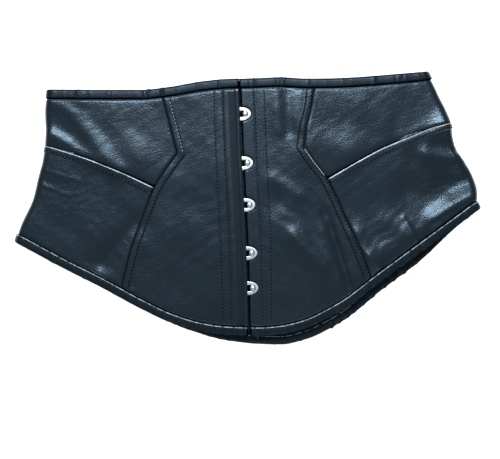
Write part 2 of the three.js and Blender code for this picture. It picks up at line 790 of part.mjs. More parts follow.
// The plain strip inside the belt that joins the back halves
function placket() {
  const inset = BINDING_WIDTH + LIFT_RUN + PLACKET_INSET;
  const low = backHem(centreBack(Y(0))) + inset;
  const high = backTop(centreBack(Y(1))) - inset;
  const half = PLACKET_WIDTH / 2;
  const outline = new THREE.Shape([
    new THREE.Vector2(centreBack(low) - half, low),
    new THREE.Vector2(centreBack(low) + half, low),
    new THREE.Vector2(centreBack(high) + half, high),
    new THREE.Vector2(centreBack(high) - half, high),
  ]);
  const strip = new THREE.ExtrudeGeometry(outline, { depth: PLACKET_THICK, bevelEnabled: false });
  return strip.translate(0, 0, WALL + TAPE_FIT);
}

const leather = new THREE.MeshStandardMaterial({ color: 0x2b3842, roughness: 0.45, metalness: 0 });
const tape = new THREE.MeshStandardMaterial({ color: 0x26313a, roughness: 0.5, metalness: 0 });
const steel = new THREE.MeshStandardMaterial({ color: 0xd2d5d4, roughness: 0.2, metalness: 1 });

const belt = new THREE.Group();
belt.name = 'corset_belt';

function add(name, geometry, material) {
  const mesh = new THREE.Mesh(geometry, material);
  mesh.name = name;
  belt.add(mesh);
  return mesh;
}

const seats = loopSeats();
for (const half of HALVES) {
  const grid = gridHalf(half);
  const { columns, plan } = grid;
  const top = grid.cells.length - 1;
  const joint = SEAM_GAP / 2;
  const edge = TAPE_COVER;
  const frontRise = (j, i) => {
    if (plan.rows[j].bound) {
      return 0;
    }
    if (i >= columns.fell) {
      return FELL_RISE;
    }
    return i <= columns.band ? BAND_RISE : 0;
  };
  const stripRise = (j, i) => (j >= plan.stripRow && i < columns.turned ? STRIP_RISE : 0);
  const front = panel(grid, {
    rows: [0, top],
    columns: [0, columns.seam],
    rise: frontRise,
    gaps: { start: FRONT_GAP / 2, end: joint, bottom: edge, top: edge },
  });
  const cuts = half.sign < 0 ? seats.map(pocket) : seats.map(postHole);
  add(`front_${half.name}_panel`, carve(front, cuts), leather);
  add(`${half.name}_upper_side_panel`, panel(grid, {
    rows: [plan.junctionRow, top],
    columns: [columns.seam, columns.backSeam],
    gaps: { start: joint, end: joint, bottom: joint, top: edge },
  }), leather);
  add(`${half.name}_lower_side_panel`, panel(grid, {
    rows: [0, plan.junctionRow],
    columns: [columns.seam, columns.backSeam],
    rise: stripRise,
    gaps: { start: joint, end: joint, bottom: edge, top: joint },
  }), leather);
  add(`back_${half.name}_panel`, panel(grid, {
    rows: [0, top],
    columns: [columns.backSeam, columns.last],
    gaps: { start: joint, end: joint, bottom: edge, top: edge },
  }), leather);
  add(`top_binding_${half.name}`, binding(grid, top, top - 1), tape);
  add(`bottom_binding_${half.name}`, binding(grid, 0, 1), tape);
}
add('back_placket', placket(), leather);

seats.forEach((seat, k) => {
  const loop = add(`busk_loop_${k + 1}`, loopPlate(), steel);
  loop.position.set(seat.place.x, seat.place.y, seat.height);
  loop.rotation.z = seat.turn;
  const flangeTop = seat.studHeight - WALL / 2 - METAL_FIT;
  const headBase = seat.height + LOOP_THICK / 2 + METAL_FIT;
  const button = add(`busk_stud_${k + 1}`, stud(flangeTop, headBase), steel);
  button.position.set(seat.studPlace.x, seat.studPlace.y, 0);
});

// The belt stands with the middle of its box over the origin
const box = new THREE.Box3().setFromObject(belt);
const middle = box.getCenter(new THREE.Vector3());
belt.position.set(-middle.x, -middle.y, -box.min.z);

export default belt;
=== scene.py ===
# %% [markdown]
# # A leather corset belt that closes with a busk
# The belt lies flat on its back. Two layers of soft, blue-black leather meet at the
# side folds, a folded tape binds the top edge and the hem, and five steel loops hook
# over five studs down the front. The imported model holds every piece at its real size.
# This script gives each one the shape and finish that shows: folds, double seams,
# gathered tape, thread, leather grain and polished steel.

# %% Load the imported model
import math

import bpy
import numpy as np
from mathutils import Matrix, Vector


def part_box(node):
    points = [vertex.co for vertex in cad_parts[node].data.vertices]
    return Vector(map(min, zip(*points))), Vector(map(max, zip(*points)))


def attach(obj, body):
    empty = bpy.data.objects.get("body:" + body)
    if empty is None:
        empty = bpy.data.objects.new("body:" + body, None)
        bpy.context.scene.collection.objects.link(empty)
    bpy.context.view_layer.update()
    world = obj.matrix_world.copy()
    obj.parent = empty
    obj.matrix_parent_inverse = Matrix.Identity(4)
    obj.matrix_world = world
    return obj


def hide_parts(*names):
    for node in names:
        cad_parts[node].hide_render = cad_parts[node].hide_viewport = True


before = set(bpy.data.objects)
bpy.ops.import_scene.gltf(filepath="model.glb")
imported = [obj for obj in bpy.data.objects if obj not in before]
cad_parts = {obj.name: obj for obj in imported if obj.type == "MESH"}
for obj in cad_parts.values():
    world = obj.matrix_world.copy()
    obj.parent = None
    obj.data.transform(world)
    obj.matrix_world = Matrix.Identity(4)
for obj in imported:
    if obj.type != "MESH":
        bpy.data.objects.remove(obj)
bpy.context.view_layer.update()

# %% [markdown]
# ## Sizes and outline
# A pattern cutter starts from a few lengths and a flat plan. The same lengths that
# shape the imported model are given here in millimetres, and the outline and seams are
# shares of them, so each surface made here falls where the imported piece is.

# %% The belt's own sizes, in millimetres
MM = 0.001
BELT_WIDTH = 465.5
BELT_LENGTH = 273
INNER_GAP = 12
SIDE_REACH = 7
SIDE_WRAP = 55
BACK_DROP = 2
WALL = 2.5
SEAM_GAP = 0.4
FELL_WIDTH = 6.5
FELL_RISE = 0.9
STRIP_WIDTH = 7
STRIP_RISE = 0.7
FOLD_HEIGHT = 3
FOLD_SPREAD = 14
TAPE = 1
TAPE_FIT = 0.3
BINDING_WIDTH = 9
LIFT_RUN = 16
LEAN_RUN = 25
PIN_RUN = 60
BAND_RISE = 0.6
BUSK_OVER = 1.4
BUSK_UNDER = 1.35
BUSK_RUN = 20
TAPE_COVER = TAPE + TAPE_FIT
FRONT_HEIGHT = WALL + INNER_GAP + WALL / 2


def X(share):
    """Millimetres across the belt from a share of its width."""
    return (np.asarray(share) - 0.5) * BELT_WIDTH


def Y(share):
    """Millimetres up the belt from a share of its length."""
    return (np.asarray(share) - 0.5) * BELT_LENGTH


print("front layer lies at", FRONT_HEIGHT, "mm")

# %% The outline and the seams, as shares of width and length
# Columns: x, top edge, front hem, back hem
EDGES = np.array([
    (0.020, 0.932, 0.360, 0.360),
    (0.098, 0.932, 0.288, 0.288),
    (0.184, 0.931, 0.214, 0.214),
    (0.270, 0.931, 0.135, 0.134),
    (0.334, 0.942, 0.084, 0.080),
    (0.398, 0.961, 0.051, 0.040),
    (0.452, 0.970, 0.038, 0.016),
    (0.525, 0.974, 0.034, 0.002),
    (0.570, 0.977, 0.040, 0.000),
    (0.625, 0.972, 0.062, 0.019),
    (0.678, 0.973, 0.104, 0.060),
    (0.721, 0.976, 0.148, 0.106),
    (0.785, 0.984, 0.231, 0.196),
    (0.871, 0.996, 0.339, 0.307),
    (0.936, 1.004, 0.421, 0.410),
    (0.990, 1.010, 0.490, 0.487),
])
# Columns: y, x
CENTRE_FRONT = [(0.03, 0.502), (0.31, 0.498), (0.51, 0.493), (0.71, 0.487), (0.97, 0.481)]
CENTRE_BACK = [(0.00, 0.522), (0.97, 0.500)]
LOOP_HEIGHTS = [0.842, 0.663, 0.511, 0.336, 0.209]
# fold: y, x, tilt in degrees. below and above, the long seam to its corner and on: y, x.
# cross, the seam from the long seam to the side fold: x, y.
LEFT = {
    "name": "left",
    "sign": -1,
    "fold": [
        (0.380, 0.000, 27), (0.417, 0.008, 26), (0.472, 0.024, 23), (0.531, 0.039, 18),
        (0.619, 0.052, 15), (0.677, 0.061, 14), (0.758, 0.066, 11), (0.860, 0.066, 4),
        (0.930, 0.068, 2),
    ],
    "below": [
        (0.212, 0.230), (0.348, 0.250), (0.490, 0.280), (0.575, 0.300), (0.641, 0.324),
        (0.699, 0.349),
    ],
    "above": [(0.699, 0.349), (0.824, 0.330), (0.904, 0.318)],
    "cross": [(0.060, 0.732), (0.119, 0.703), (0.184, 0.663), (0.248, 0.617), (0.310, 0.567)],
}
RIGHT = {
    "name": "right",
    "sign": 1,
    "fold": [
        (0.501, 1.000, 35), (0.531, 0.992, 31), (0.582, 0.986, 27), (0.622, 0.979, 24),
        (0.670, 0.963, 22), (0.714, 0.946, 18), (0.772, 0.937, 16), (0.813, 0.933, 14),
        (0.860, 0.923, 12), (0.911, 0.908, 9), (0.970, 0.895, 6), (0.994, 0.888, 5),
    ],
    "below": [
        (0.256, 0.762), (0.362, 0.738), (0.480, 0.706), (0.538, 0.691), (0.608, 0.670),
        (0.673, 0.641), (0.725, 0.620),
    ],
    "above": [(0.725, 0.620), (0.787, 0.625), (0.860, 0.635), (0.941, 0.642)],
    "cross": [
        (0.650, 0.586), (0.721, 0.657), (0.785, 0.716), (0.850, 0.763), (0.893, 0.792),
        (0.950, 0.816),
    ],
}
print(len(EDGES), "stations across the belt")

# %% [markdown]
# ## Curves
# A plain spline can swing past its points and put a wave in a hem. This one sets each
# slope to the harmonic mean of the chords beside it, so it never does. The plan is
# worked out with complex numbers, where one number, x + iy, is one place.

# %% Curves, zero finding and soft steps
def through(at, value):
    """Cubic through (at, value) whose slopes are the harmonic mean of the chords beside
    each knot, or 0 at a turn, and a straight line past the ends."""
    at, value = np.asarray(at, float), np.asarray(value, float)
    rises = np.diff(value) / np.diff(at)
    before = np.concatenate([rises[:1], rises])
    after = np.concatenate([rises, rises[-1:]])
    total = np.where(before * after > 0, before + after, 1)
    slopes = np.where(before * after > 0, 2 * before * after / total, 0)

    def curve(x):
        x = np.asarray(x, float)
        k = np.clip(np.searchsorted(at, x, side="right") - 1, 0, len(at) - 2)
        width = at[k + 1] - at[k]
        t = np.clip((x - at[k]) / width, 0, 1)
        start = (1 - t) ** 2 * ((1 + 2 * t) * value[k] + t * width * slopes[k])
        end = t ** 2 * ((3 - 2 * t) * value[k + 1] - (1 - t) * width * slopes[k + 1])
        outside = slopes[0] * np.minimum(x - at[0], 0) + slopes[-1] * np.maximum(x - at[-1], 0)
        return start + end + outside

    return curve


def solve(rising, low, high):
    """Where a rising function passes 0, by halving the stretch 45 times."""
    low, high = np.asarray(low, float), np.asarray(high, float)
    for _ in range(45):
        middle = (low + high) / 2
        under = rising(middle) < 0
        low, high = np.where(under, middle, low), np.where(under, high, middle)
    return (low + high) / 2


def soft_step(low, high, value):
    """3t² - 2t³ with t going from 0 at low to 1 at high."""
    t = np.clip((value - low) / (high - low), 0, 1)
    return t * t * (3 - 2 * t)


def bump(value, middle, width):
    """A bell, exp(-((value - middle) / width)²)."""
    return np.exp(-(((value - middle) / width) ** 2))


top_edge = through(X(EDGES[:, 0]), Y(EDGES[:, 1]))
front_hem = through(X(EDGES[:, 0]), Y(EDGES[:, 2]))
back_hem = through(X(EDGES[:, 0]), Y(EDGES[:, 3]))
centre_front = through(*(f(c) for f, c in zip((Y, X), zip(*CENTRE_FRONT))))
centre_back = through(*(f(c) for f, c in zip((Y, X), zip(*CENTRE_BACK))))
print("hem at the centre front, mm:", round(float(front_hem(0)), 1))

# %% [markdown]
# ## The plan of one half
# Each half is one sheet in four stretches: front, from the centre to the long seam;
# side, on to the fold; turn, round the fold; and back. A place on it has a share s
# along the stretch and a height v, which is 0 at the hem binding's inner line and 1 at
# the top one's. The strips under the bindings run on to -1 and 2.

# %% Edges of the plan
JUNCTION = 0.5
CORNER = 0.64


def edge_line(height, inward, ends):
    """Outer and inner line of a binding at x: square to the edge, but leaning near its
    two ends as the centre line or the side fold does there."""
    def line(x):
        slope = (height(x + 1) - height(x - 1)) / 2
        across = inward * (1j - slope) / np.hypot(1, slope)
        for outer, inner in ends:
            near = np.maximum(0, 1 - abs(x - outer.real) / LEAN_RUN) ** 2
            lean = (inner - outer) / abs(inner - outer)
            across = across + (lean - across) * near
        outer = x + 1j * height(x)
        return outer, outer + across / abs(across) * BINDING_WIDTH
    return line


def pinned(height, point):
    """The same edge, bent over PIN_RUN so that it passes through the point."""
    miss = point.imag - height(point.real)
    return lambda x: height(x) + miss * np.maximum(0, 1 - abs(x - point.real) / PIN_RUN) ** 2


def centre_end(height, line, inward):
    """Outer and inner point where an edge meets a centre line."""
    x = solve(lambda at: at - line(height(at)), -BELT_WIDTH / 2, BELT_WIDTH / 2)
    outer = complex(x, height(x))
    lean = complex(line(outer.imag + inward) - x, inward)
    return outer, outer + lean / abs(lean) * BINDING_WIDTH


def patch(start, end, s, t, low, high):
    """A straight line between two side points, bent by what the two end curves bend."""
    def bend(curve):
        return curve(s) - (curve(0.0) * (1 - s) + curve(1.0) * s)
    return start * (1 - s) + end * s + (1 - t) * bend(low) + t * bend(high)


# %% One half of the belt
class Half:
    """The plan of one half and its sheet in space. Plan places are complex, in mm."""

    def __init__(self, table):
        self.name, self.sign = table["name"], table["sign"]
        fold_y, fold_x, tilt = zip(*table["fold"])
        self.fold_x = through(Y(fold_y), X(fold_x))
        self.tilt = through(Y(fold_y), np.radians(tilt))
        self.below = through(*(f(c) for f, c in zip((Y, X), zip(*table["below"]))))
        self.above = through(*(f(c) for f, c in zip((Y, X), zip(*table["above"]))))
        self.cross = through(*(f(c) for f, c in zip((X, Y), zip(*table["cross"]))))
        self.corner_y = float(Y(table["above"][0][0]))
        self.find_fold_ends()
        self.find_edges()
        self.find_rows()

    def outward(self, w):
        """Plan direction out of the side fold at height w along it."""
        return self.sign * np.cos(self.tilt(w)) + 1j * np.sin(self.tilt(w))

    def turning(self, w):
        """Plan place where the flat leather starts to turn round the fold."""
        return self.fold_x(w) + 1j * w - self.outward(w) * (SIDE_REACH + WALL / 2)

    def seam_x(self, y):
        return np.where(y < self.corner_y, self.below(y), self.above(y))

    def find_fold_ends(self):
        """Heights along the fold of the edges, the bindings' inner lines and the cross seam."""
        low, high = float(Y(0.2)), float(Y(1.1))

        def on(height):
            def above(w):
                return self.turning(w).imag - height(self.turning(w).real)
            return float(solve(above, low, high))

        self.hem_w, self.top_w, self.cross_w = on(front_hem), on(top_edge), on(self.cross)
        hem, top = self.turning(self.hem_w), self.turning(self.top_w)
        self.hem_inner_w = float(solve(
            lambda w: abs(self.turning(w) - hem) - BINDING_WIDTH, self.hem_w, high))
        self.top_inner_w = float(solve(
            lambda w: BINDING_WIDTH - abs(self.turning(w) - top), low, self.top_w))

    def find_edges(self):
        """The four edge lines with the x at which each stretch starts and stops."""
        hem_end = tuple(complex(self.turning(w)) for w in (self.hem_w, self.hem_inner_w))
        top_end = tuple(complex(self.turning(w)) for w in (self.top_w, self.top_inner_w))
        hem_start = centre_end(front_hem, centre_front, 1)
        top_start = centre_end(top_edge, centre_front, -1)
        back_hem_height = pinned(back_hem, hem_end[0])
        back_top_height = pinned(lambda x: top_edge(x) - BACK_DROP, top_end[0])
        back_hem_stop = centre_end(back_hem_height, centre_back, 1)
        back_top_stop = centre_end(back_top_height, centre_back, -1)
        hem = edge_line(front_hem, 1, [hem_start, hem_end])
        top = edge_line(top_edge, -1, [top_start, top_end])
        back_hem_line = edge_line(back_hem_height, 1, [back_hem_stop, hem_end])
        back_top_line = edge_line(back_top_height, -1, [back_top_stop, top_end])

        def foot(line, start, stop):
            def miss(s):
                inner = line(start + (stop - start) * s)[1]
                return self.sign * (inner.real - self.seam_x(inner.imag))
            return start + (stop - start) * float(solve(miss, 0, 1))

        hem_foot = foot(hem, hem_start[0].real, hem_end[0].real)
        top_foot = foot(top, top_start[0].real, top_end[0].real)
        self.edges = {
            ("front", "hem"): (hem, hem_start[0].real, hem_foot),
            ("front", "top"): (top, top_start[0].real, top_foot),
            ("side", "hem"): (hem, hem_foot, hem_end[0].real),
            ("side", "top"): (top, top_foot, top_end[0].real),
            ("back", "hem"): (back_hem_line, hem_end[0].real, back_hem_stop[0].real),
            ("back", "top"): (back_top_line, top_end[0].real, back_top_stop[0].real),
        }

    def edge(self, stretch, end, s):
        """Outer and inner plan point of the binding at share s of a stretch."""
        line, start, stop = self.edges[stretch, end]
        return line(start + (stop - start) * np.asarray(s, float))

    def find_rows(self):
        """Heights of the rows' ends, as steps in v, and the real length of a lower row."""
        self.junction_y = float(solve(lambda y: y - self.cross(self.seam_x(y)),
                                      Y(0.2), self.corner_y))
        steps = [0, JUNCTION, CORNER, 1]
        hem, top = self.edge("front", "hem", 1)[1].imag, self.edge("front", "top", 1)[1].imag
        centre_hem = self.edge("front", "hem", 0)[1].imag
        centre_top = self.edge("front", "top", 0)[1].imag
        seam_rows = [hem, self.junction_y, self.corner_y, top]
        centre_rows = [centre_hem, self.junction_y, self.corner_y, centre_top]
        self.seam_y = lambda v: np.interp(v, steps, seam_rows)
        self.centre_y = lambda v: np.interp(v, steps, centre_rows)
        self.junction = complex(self.seam_x(self.junction_y), self.junction_y)
        self.lower_run = abs(self.junction - self.edge("front", "hem", 1)[1])
        self.upper_run = abs(self.turning(self.top_inner_w) - self.turning(self.cross_w))

    def fold_at(self, v):
        """Height w along the side fold of the row at v."""
        y = self.seam_y(np.clip(v, 0, 1))
        at = [self.seam_y(0), self.junction_y, self.seam_y(1)]
        w = np.interp(y, at, [self.hem_inner_w, self.cross_w, self.top_inner_w])
        under_hem = np.clip(-v, 0, 1) * (self.hem_w - self.hem_inner_w)
        return w + under_hem + np.clip(v - 1, 0, 1) * (self.top_w - self.top_inner_w)

    def front(self, s, v):
        y = self.centre_y(v)
        t = (y - self.centre_y(0)) / (self.centre_y(1) - self.centre_y(0))
        seam_y = self.seam_y(v)
        return patch(centre_front(y) + 1j * y, self.seam_x(seam_y) + 1j * seam_y, s, t,
                     lambda at: self.edge("front", "hem", at)[1],
                     lambda at: self.edge("front", "top", at)[1])

    def cross_curve(self, s):
        end = self.turning(self.cross_w).real
        x = self.junction.real * (1 - s) + end * s
        return x + 1j * self.cross(x)

    def side(self, s, v):
        y = self.seam_y(v)
        start = self.seam_x(y) + 1j * y
        end = self.turning(self.fold_at(v))
        low_t = (y - self.seam_y(0)) / (self.junction_y - self.seam_y(0))
        high_t = (y - self.junction_y) / (self.seam_y(1) - self.junction_y)
        hem = lambda at: self.edge("side", "hem", at)[1]
        top = lambda at: self.edge("side", "top", at)[1]
        low = patch(start, end, s, low_t, hem, self.cross_curve)
        high = patch(start, end, s, high_t, self.cross_curve, top)
        return np.where(v < JUNCTION, low, high)

    def back(self, s, v):
        w = self.fold_at(v)
        t = (w - self.hem_inner_w) / (self.top_inner_w - self.hem_inner_w)
        low, high = self.edge("back", "hem", 1)[1].imag, self.edge("back", "top", 1)[1].imag
        y = low + (high - low) * t
        return patch(self.turning(w), centre_back(y) + 1j * y, s, t,
                     lambda at: self.edge("back", "hem", at)[1],
                     lambda at: self.edge("back", "top", at)[1])

    def place(self, stretch, s, v):
        """Plan place at s and v. Under a binding it runs straight from line to line."""
        body = getattr(self, stretch)(s, np.clip(v, 0, 1))
        hem_outer, hem_inner = self.edge(stretch, "hem", s)
        top_outer, top_inner = self.edge(stretch, "top", s)
        under_hem = np.clip(-v, 0, 1) * (hem_outer - hem_inner)
        return body + under_hem + np.clip(v - 1, 0, 1) * (top_outer - top_inner)

    def from_tape(self, stretch, s, v):
        """Distance from the nearer binding's inner line, in mm, and below 0 under it."""
        place = self.place(stretch, s, v)
        hem = abs(place - self.edge(stretch, "hem", s)[1])
        top = abs(place - self.edge(stretch, "top", s)[1])
        return np.minimum(np.where(v < 0, -hem, hem), np.where(v > 1, -top, top))

    def row_length(self, stretch, v):
        return abs(self.place(stretch, 1.0, v) - self.place(stretch, 0.0, v))


halves = [Half(LEFT), Half(RIGHT)]
for half in halves:
    print(half.name, "junction of the seams, mm:", np.round(half.junction, 1))

# %% [markdown]
# ## The sheet in space
# Soft leather that lies flat still holds long, low folds. They are elongated bells on
# the front layer's height. The front also steps down from the loop side to the stud
# side, so that the flat steel loops can leave one edge and lie on the other.

# %% Folds and the front layer's height
# Columns: x and y of one end, x and y of the other, spread, rise
FOLDS = np.array([
    (0.068, 0.783, 0.173, 0.666, 0.50, 0.80),
    (0.111, 0.882, 0.222, 0.633, 0.65, 0.65),
    (0.839, 0.750, 0.936, 0.809, 1.00, 0.95),
    (0.882, 0.695, 0.979, 0.666, 0.60, 0.55),
    (0.839, 0.567, 0.985, 0.604, 1.00, -1.10),
    (0.893, 0.450, 0.991, 0.516, 0.75, 0.50),
    (0.580, 0.460, 0.689, 0.220, 1.10, 0.50),
    (0.665, 0.476, 0.716, 0.216, 0.40, -0.40),
    (0.259, 0.439, 0.173, 0.275, 0.90, -0.50),
])


def ridges(place, table, spread_unit, rise_unit):
    """Sum of rise · exp(-(distance from a straight line between two ends / spread)²)."""
    height = np.zeros(np.shape(place))
    for x1, y1, x2, y2, spread, rise in table:
        start = complex(X(x1), Y(y1))
        along = complex(X(x2), Y(y2)) - start
        t = np.clip(((place - start) * np.conj(along)).real / abs(along) ** 2, 0, 1)
        away = abs(place - start - along * t)
        height = height + rise_unit * rise * bump(away, 0, spread_unit * spread)
    return height


def front_height(place, sign):
    """Height of the front layer's middle: its level, folds and the step at the busk."""
    x, y = place.real, place.imag
    from_edge = np.minimum(top_edge(x) - y, y - front_hem(x))
    free = soft_step(BINDING_WIDTH, BINDING_WIDTH + LIFT_RUN, from_edge)
    busk = BUSK_OVER if sign < 0 else -BUSK_UNDER
    folds = free * ridges(place, FOLDS, FOLD_SPREAD, FOLD_HEIGHT)
    return FRONT_HEIGHT + folds + busk * bump(x - centre_front(y), 0, BUSK_RUN)


print(len(FOLDS), "folds in the front layer")

# %% The middle of the sheet
def stack(place, height):
    """Points in space from plan places and heights."""
    place, height = np.broadcast_arrays(place, height)
    return np.stack([place.real, place.imag, height], axis=-1)


def cover(half, s, v):
    """Room under the back layer and round the fold for the tape, 0 far from it."""
    near = 1 - soft_step(0, LIFT_RUN, half.from_tape("back", s, v))
    return TAPE_COVER * near


TURN_FLATNESS = 0.6
TURN_WALL = 0.75


def middle(half, zone, s, v):
    """Middle of the leather. On the turn it is half an oval out from the fold's start,
    flat for longer than an ellipse, from the front layer's height to the back's."""
    if zone == "back":
        return stack(half.place("back", s, v), WALL / 2 + cover(half, s, v))
    if zone != "turn":
        place = half.place(zone, s, v)
        return stack(place, front_height(place, half.sign))
    start = half.place("side", 1.0, v)
    room = cover(half, 0.0, v)
    angle = np.pi * np.asarray(s)
    out = half.outward(half.fold_at(v)) * (SIDE_REACH - room) * np.sin(angle) ** TURN_FLATNESS
    high, low = front_height(start, half.sign), WALL / 2 + room
    level = np.sign(np.cos(angle)) * abs(np.cos(angle)) ** TURN_WALL
    return stack(start + out, high + (low - high) * (1 - level) / 2)


def square_to(half, zone, s, v):
    """Unit direction out of the sheet, from the cross product of its two slopes."""
    step = 1e-3
    ahead, behind = np.minimum(s + step, 1), np.maximum(s - step, 0)
    over, under = np.minimum(v + step, 2), np.maximum(v - step, -1)
    across = middle(half, zone, ahead, v) - middle(half, zone, behind, v)
    up = middle(half, zone, s, over) - middle(half, zone, s, under)
    normal = np.cross(across, up) * half.sign
    return normal / np.linalg.norm(normal, axis=-1, keepdims=True)


for half in halves:
    print(half.name, "fold reaches x =", round(float(middle(half, "turn", 0.5, 0.5)[..., 0]), 1))

# %% Where the busk's loops and studs sit
LOOP_REACH = 10.8
LOOP_WIDTH = 13.4
LOOP_STRAIGHT = 0.6
LOOP_TONGUE = 7
LOOP_THICK = 1.2
METAL_FIT = 0.3
EYE_RADIUS = 3.1
EYE_PLACE = 2.2
EYE_START = -3
SLOT_RADIUS = 1.9
STUD_PLACE = 5.2
STUD_RADIUS = 2.9
STUD_RIM = 0.5
STUD_DOME = 1.3
POST_RADIUS = 1.3
FLANGE_RADIUS = 2.8
FLANGE_THICK = 0.8


def loop_seats():
    """Place, turn and height of each loop, and the place and height of its stud."""
    found = []
    for share in LOOP_HEIGHTS:
        y = float(Y(share))
        place = complex(centre_front(y), y)
        turn = -math.atan(centre_front(y + 0.5) - centre_front(y - 0.5))
        stud = place + STUD_PLACE * complex(math.cos(turn), math.sin(turn))
        height = float(front_height(np.array(place), -1)) + BAND_RISE / 2
        found.append((place, turn, height, stud, float(front_height(np.array(stud), 1))))
    return found


seats = loop_seats()
print("loops turn by, degrees:", [round(math.degrees(seat[1]), 1) for seat in seats])

# %% [markdown]
# ## Relief of the outer face
# A flat felled seam is two edges folded into each other and sewn down, so it stands
# up as a flat ridge with thread beside it. The leather sinks a little along every row
# of thread and next to the tape. Relief adds these to the outer face alone, with creases,
# groups of fine wrinkles and small waves that keep hide from looking like sheet metal.
# Each function gives a rise in mm and a shade: painted shade up to 1 in seams, gaps,
# grooves and beside the tape, and painted highlight down to -1 on edges that would catch
# the light and on patches of painted sheen.

# %% Creases, wrinkles and waves
# Columns as for FOLDS, with spread and rise in mm: too narrow for the imported faces
CREASES = np.array([
    (0.068, 0.783, 0.173, 0.666, 7.0, -1.35),
    (0.078, 0.770, 0.118, 0.740, 6.0, 0.4),
    (0.095, 0.820, 0.200, 0.650, 8.0, 0.3),
    (0.110, 0.880, 0.215, 0.660, 8.0, -0.4),
    (0.085, 0.890, 0.140, 0.890, 9.0, 1.4),
    (0.175, 0.880, 0.262, 0.680, 18.0, 0.8),
    (0.062, 0.640, 0.140, 0.600, 2.4, 0.3),
    (0.052, 0.590, 0.120, 0.545, 2.4, 0.3),
    (0.265, 0.450, 0.150, 0.215, 7.0, -0.6),
    (0.270, 0.310, 0.255, 0.215, 3.0, -0.3),
    (0.900, 0.775, 0.945, 0.815, 8.0, 1.2),
    (0.830, 0.755, 0.885, 0.785, 13.0, -1.9),
    (0.645, 0.740, 0.715, 0.705, 18.0, 1.3),
    (0.835, 0.565, 0.880, 0.577, 14.0, 2.2),
    (0.900, 0.585, 0.990, 0.604, 14.0, 0.8),
    (0.905, 0.470, 0.990, 0.565, 11.0, 2.2),
    (0.765, 0.315, 0.840, 0.390, 12.0, 1.8),
    (0.735, 0.405, 0.775, 0.290, 8.0, 1.2),
    (0.800, 0.445, 0.865, 0.405, 12.0, 1.1),
    (0.832, 0.465, 0.860, 0.384, 2.4, 0.4),
    (0.738, 0.362, 0.781, 0.289, 2.4, 0.4),
    (0.676, 0.440, 0.727, 0.150, 3.4, -0.5),
    (0.712, 0.235, 0.727, 0.150, 5.0, -0.5),
    (0.662, 0.430, 0.700, 0.240, 6.0, 0.4),
    (0.555, 0.605, 0.605, 0.545, 8.0, 0.9),
    (0.565, 0.500, 0.640, 0.380, 14.0, -0.4),
    (0.600, 0.400, 0.655, 0.295, 9.0, 1.2),
    (0.560, 0.930, 0.566, 0.780, 6.0, 0.5),
    (0.584, 0.930, 0.588, 0.780, 6.0, -0.5),
    (0.610, 0.900, 0.612, 0.800, 8.0, 0.6),
    (0.380, 0.915, 0.450, 0.920, 10.0, 0.3),
])
# Columns: x and y of the middle, reach along and across in mm, turn, spacing, rise
WRINKLES = np.array([
    (0.095, 0.600, 34, 26, -8, 9.0, 0.04),
    (0.120, 0.520, 30, 22, 14, 7.0, 0.03),
    (0.200, 0.400, 40, 22, -28, 11.0, 0.04),
    (0.930, 0.610, 30, 12, 8, 7.0, 0.08),
    (0.948, 0.690, 9, 9, -48, 5.0, 0.30),
    (0.800, 0.400, 30, 26, 50, 9.0, 0.07),
    (0.430, 0.400, 50, 60, 35, 13.0, 0.05),
    (0.610, 0.420, 40, 60, -35, 12.0, 0.07),
])
# Columns: x and y of the middle, reach across and up in mm, amount: patches of painted sheen, a
# lighter, glossier tone
SHEEN_PLACES = np.array([
    (0.250, 0.780, 26, 26, 0.45),
    (0.120, 0.760, 30, 16, 0.30),
    (0.700, 0.800, 34, 26, 0.40),
    (0.920, 0.800, 26, 12, 0.45),
    (0.940, 0.530, 26, 12, 0.45),
    (0.590, 0.600, 14, 16, 0.35),
    (0.640, 0.380, 20, 20, 0.30),
    (0.860, 0.430, 20, 14, 0.25),
])
WAVES = [(64, 0.15), (38, 0.06), (24, 0.03), (15, 0.016), (9, 0.010), (5, 0.006)]
wave_random = np.random.default_rng(11)
WAVE_TABLE = [
    (direction / np.linalg.norm(direction) * 2 * np.pi / length, phase, rise)
    for length, rise in WAVES
    for direction, phase in zip(wave_random.normal(size=(3, 3)) * (1, 1, 0.4),
                                wave_random.uniform(0, 2 * np.pi, 3))
]


def waves(point):
    """Sum of three plane sine waves for each length in WAVES."""
    total = 0
    for direction, phase, rise in WAVE_TABLE:
        total = total + rise * np.sin(point @ direction + phase)
    return total


def painted_sheen(place):
    """Painted sheen: a sum of bells over the places in the table above."""
    total = 0
    for x, y, across, up, amount in SHEEN_PLACES:
        total = total + amount * bump(place.real, X(x), across) * bump(place.imag, Y(y), up)
    return total


def wrinkles(place):
    """Sine crests across a turned direction. They wander, and a bell along and across
    each group's middle fades them out."""
    total = 0
    for x, y, along_reach, across_reach, turn, spacing, rise in WRINKLES:
        local = (place - complex(X(x), Y(y))) * np.exp(-1j * np.radians(turn))
        run = local.real / spacing
        wander = 1.6 * np.sin(run * 0.9) + 1.1 * np.sin(run * 2.1 + x * 40)
        crest = np.sin(2 * np.pi * local.imag / spacing + wander)
        near = bump(local.real, 0, along_reach) * bump(local.imag, 0, across_reach)
        total = total + rise * crest * near
    return total


print(len(WAVE_TABLE), "waves,", len(CREASES), "creases and", len(WRINKLES), "groups of wrinkles")

# %% Seams, bands and edges
STITCH_DIP = 0.06
STITCH_DIP_WIDTH = 0.9
BUSK_STIFF = 34
LEFT_BUSK_ROWS = (17, 26)
RIGHT_BUSK_ROWS = (15, 24.5)
FELL_ROWS = {-1: (6.2,), 1: (6.2, 1.8)}
STRIP_ROW = 6.2
# Ends of the line where the right front panel bends beside its seam, as x and y shares;
# the flank beyond it gets painted shade
FACET = [(0.660, 0.490), (0.718, 0.212)]
FACET_SHADE = 0.45
# How far the dent and painted shadow reach past each plate, mm
PLATE_MARGIN = 1.5
PLATE_SINK = 0.25
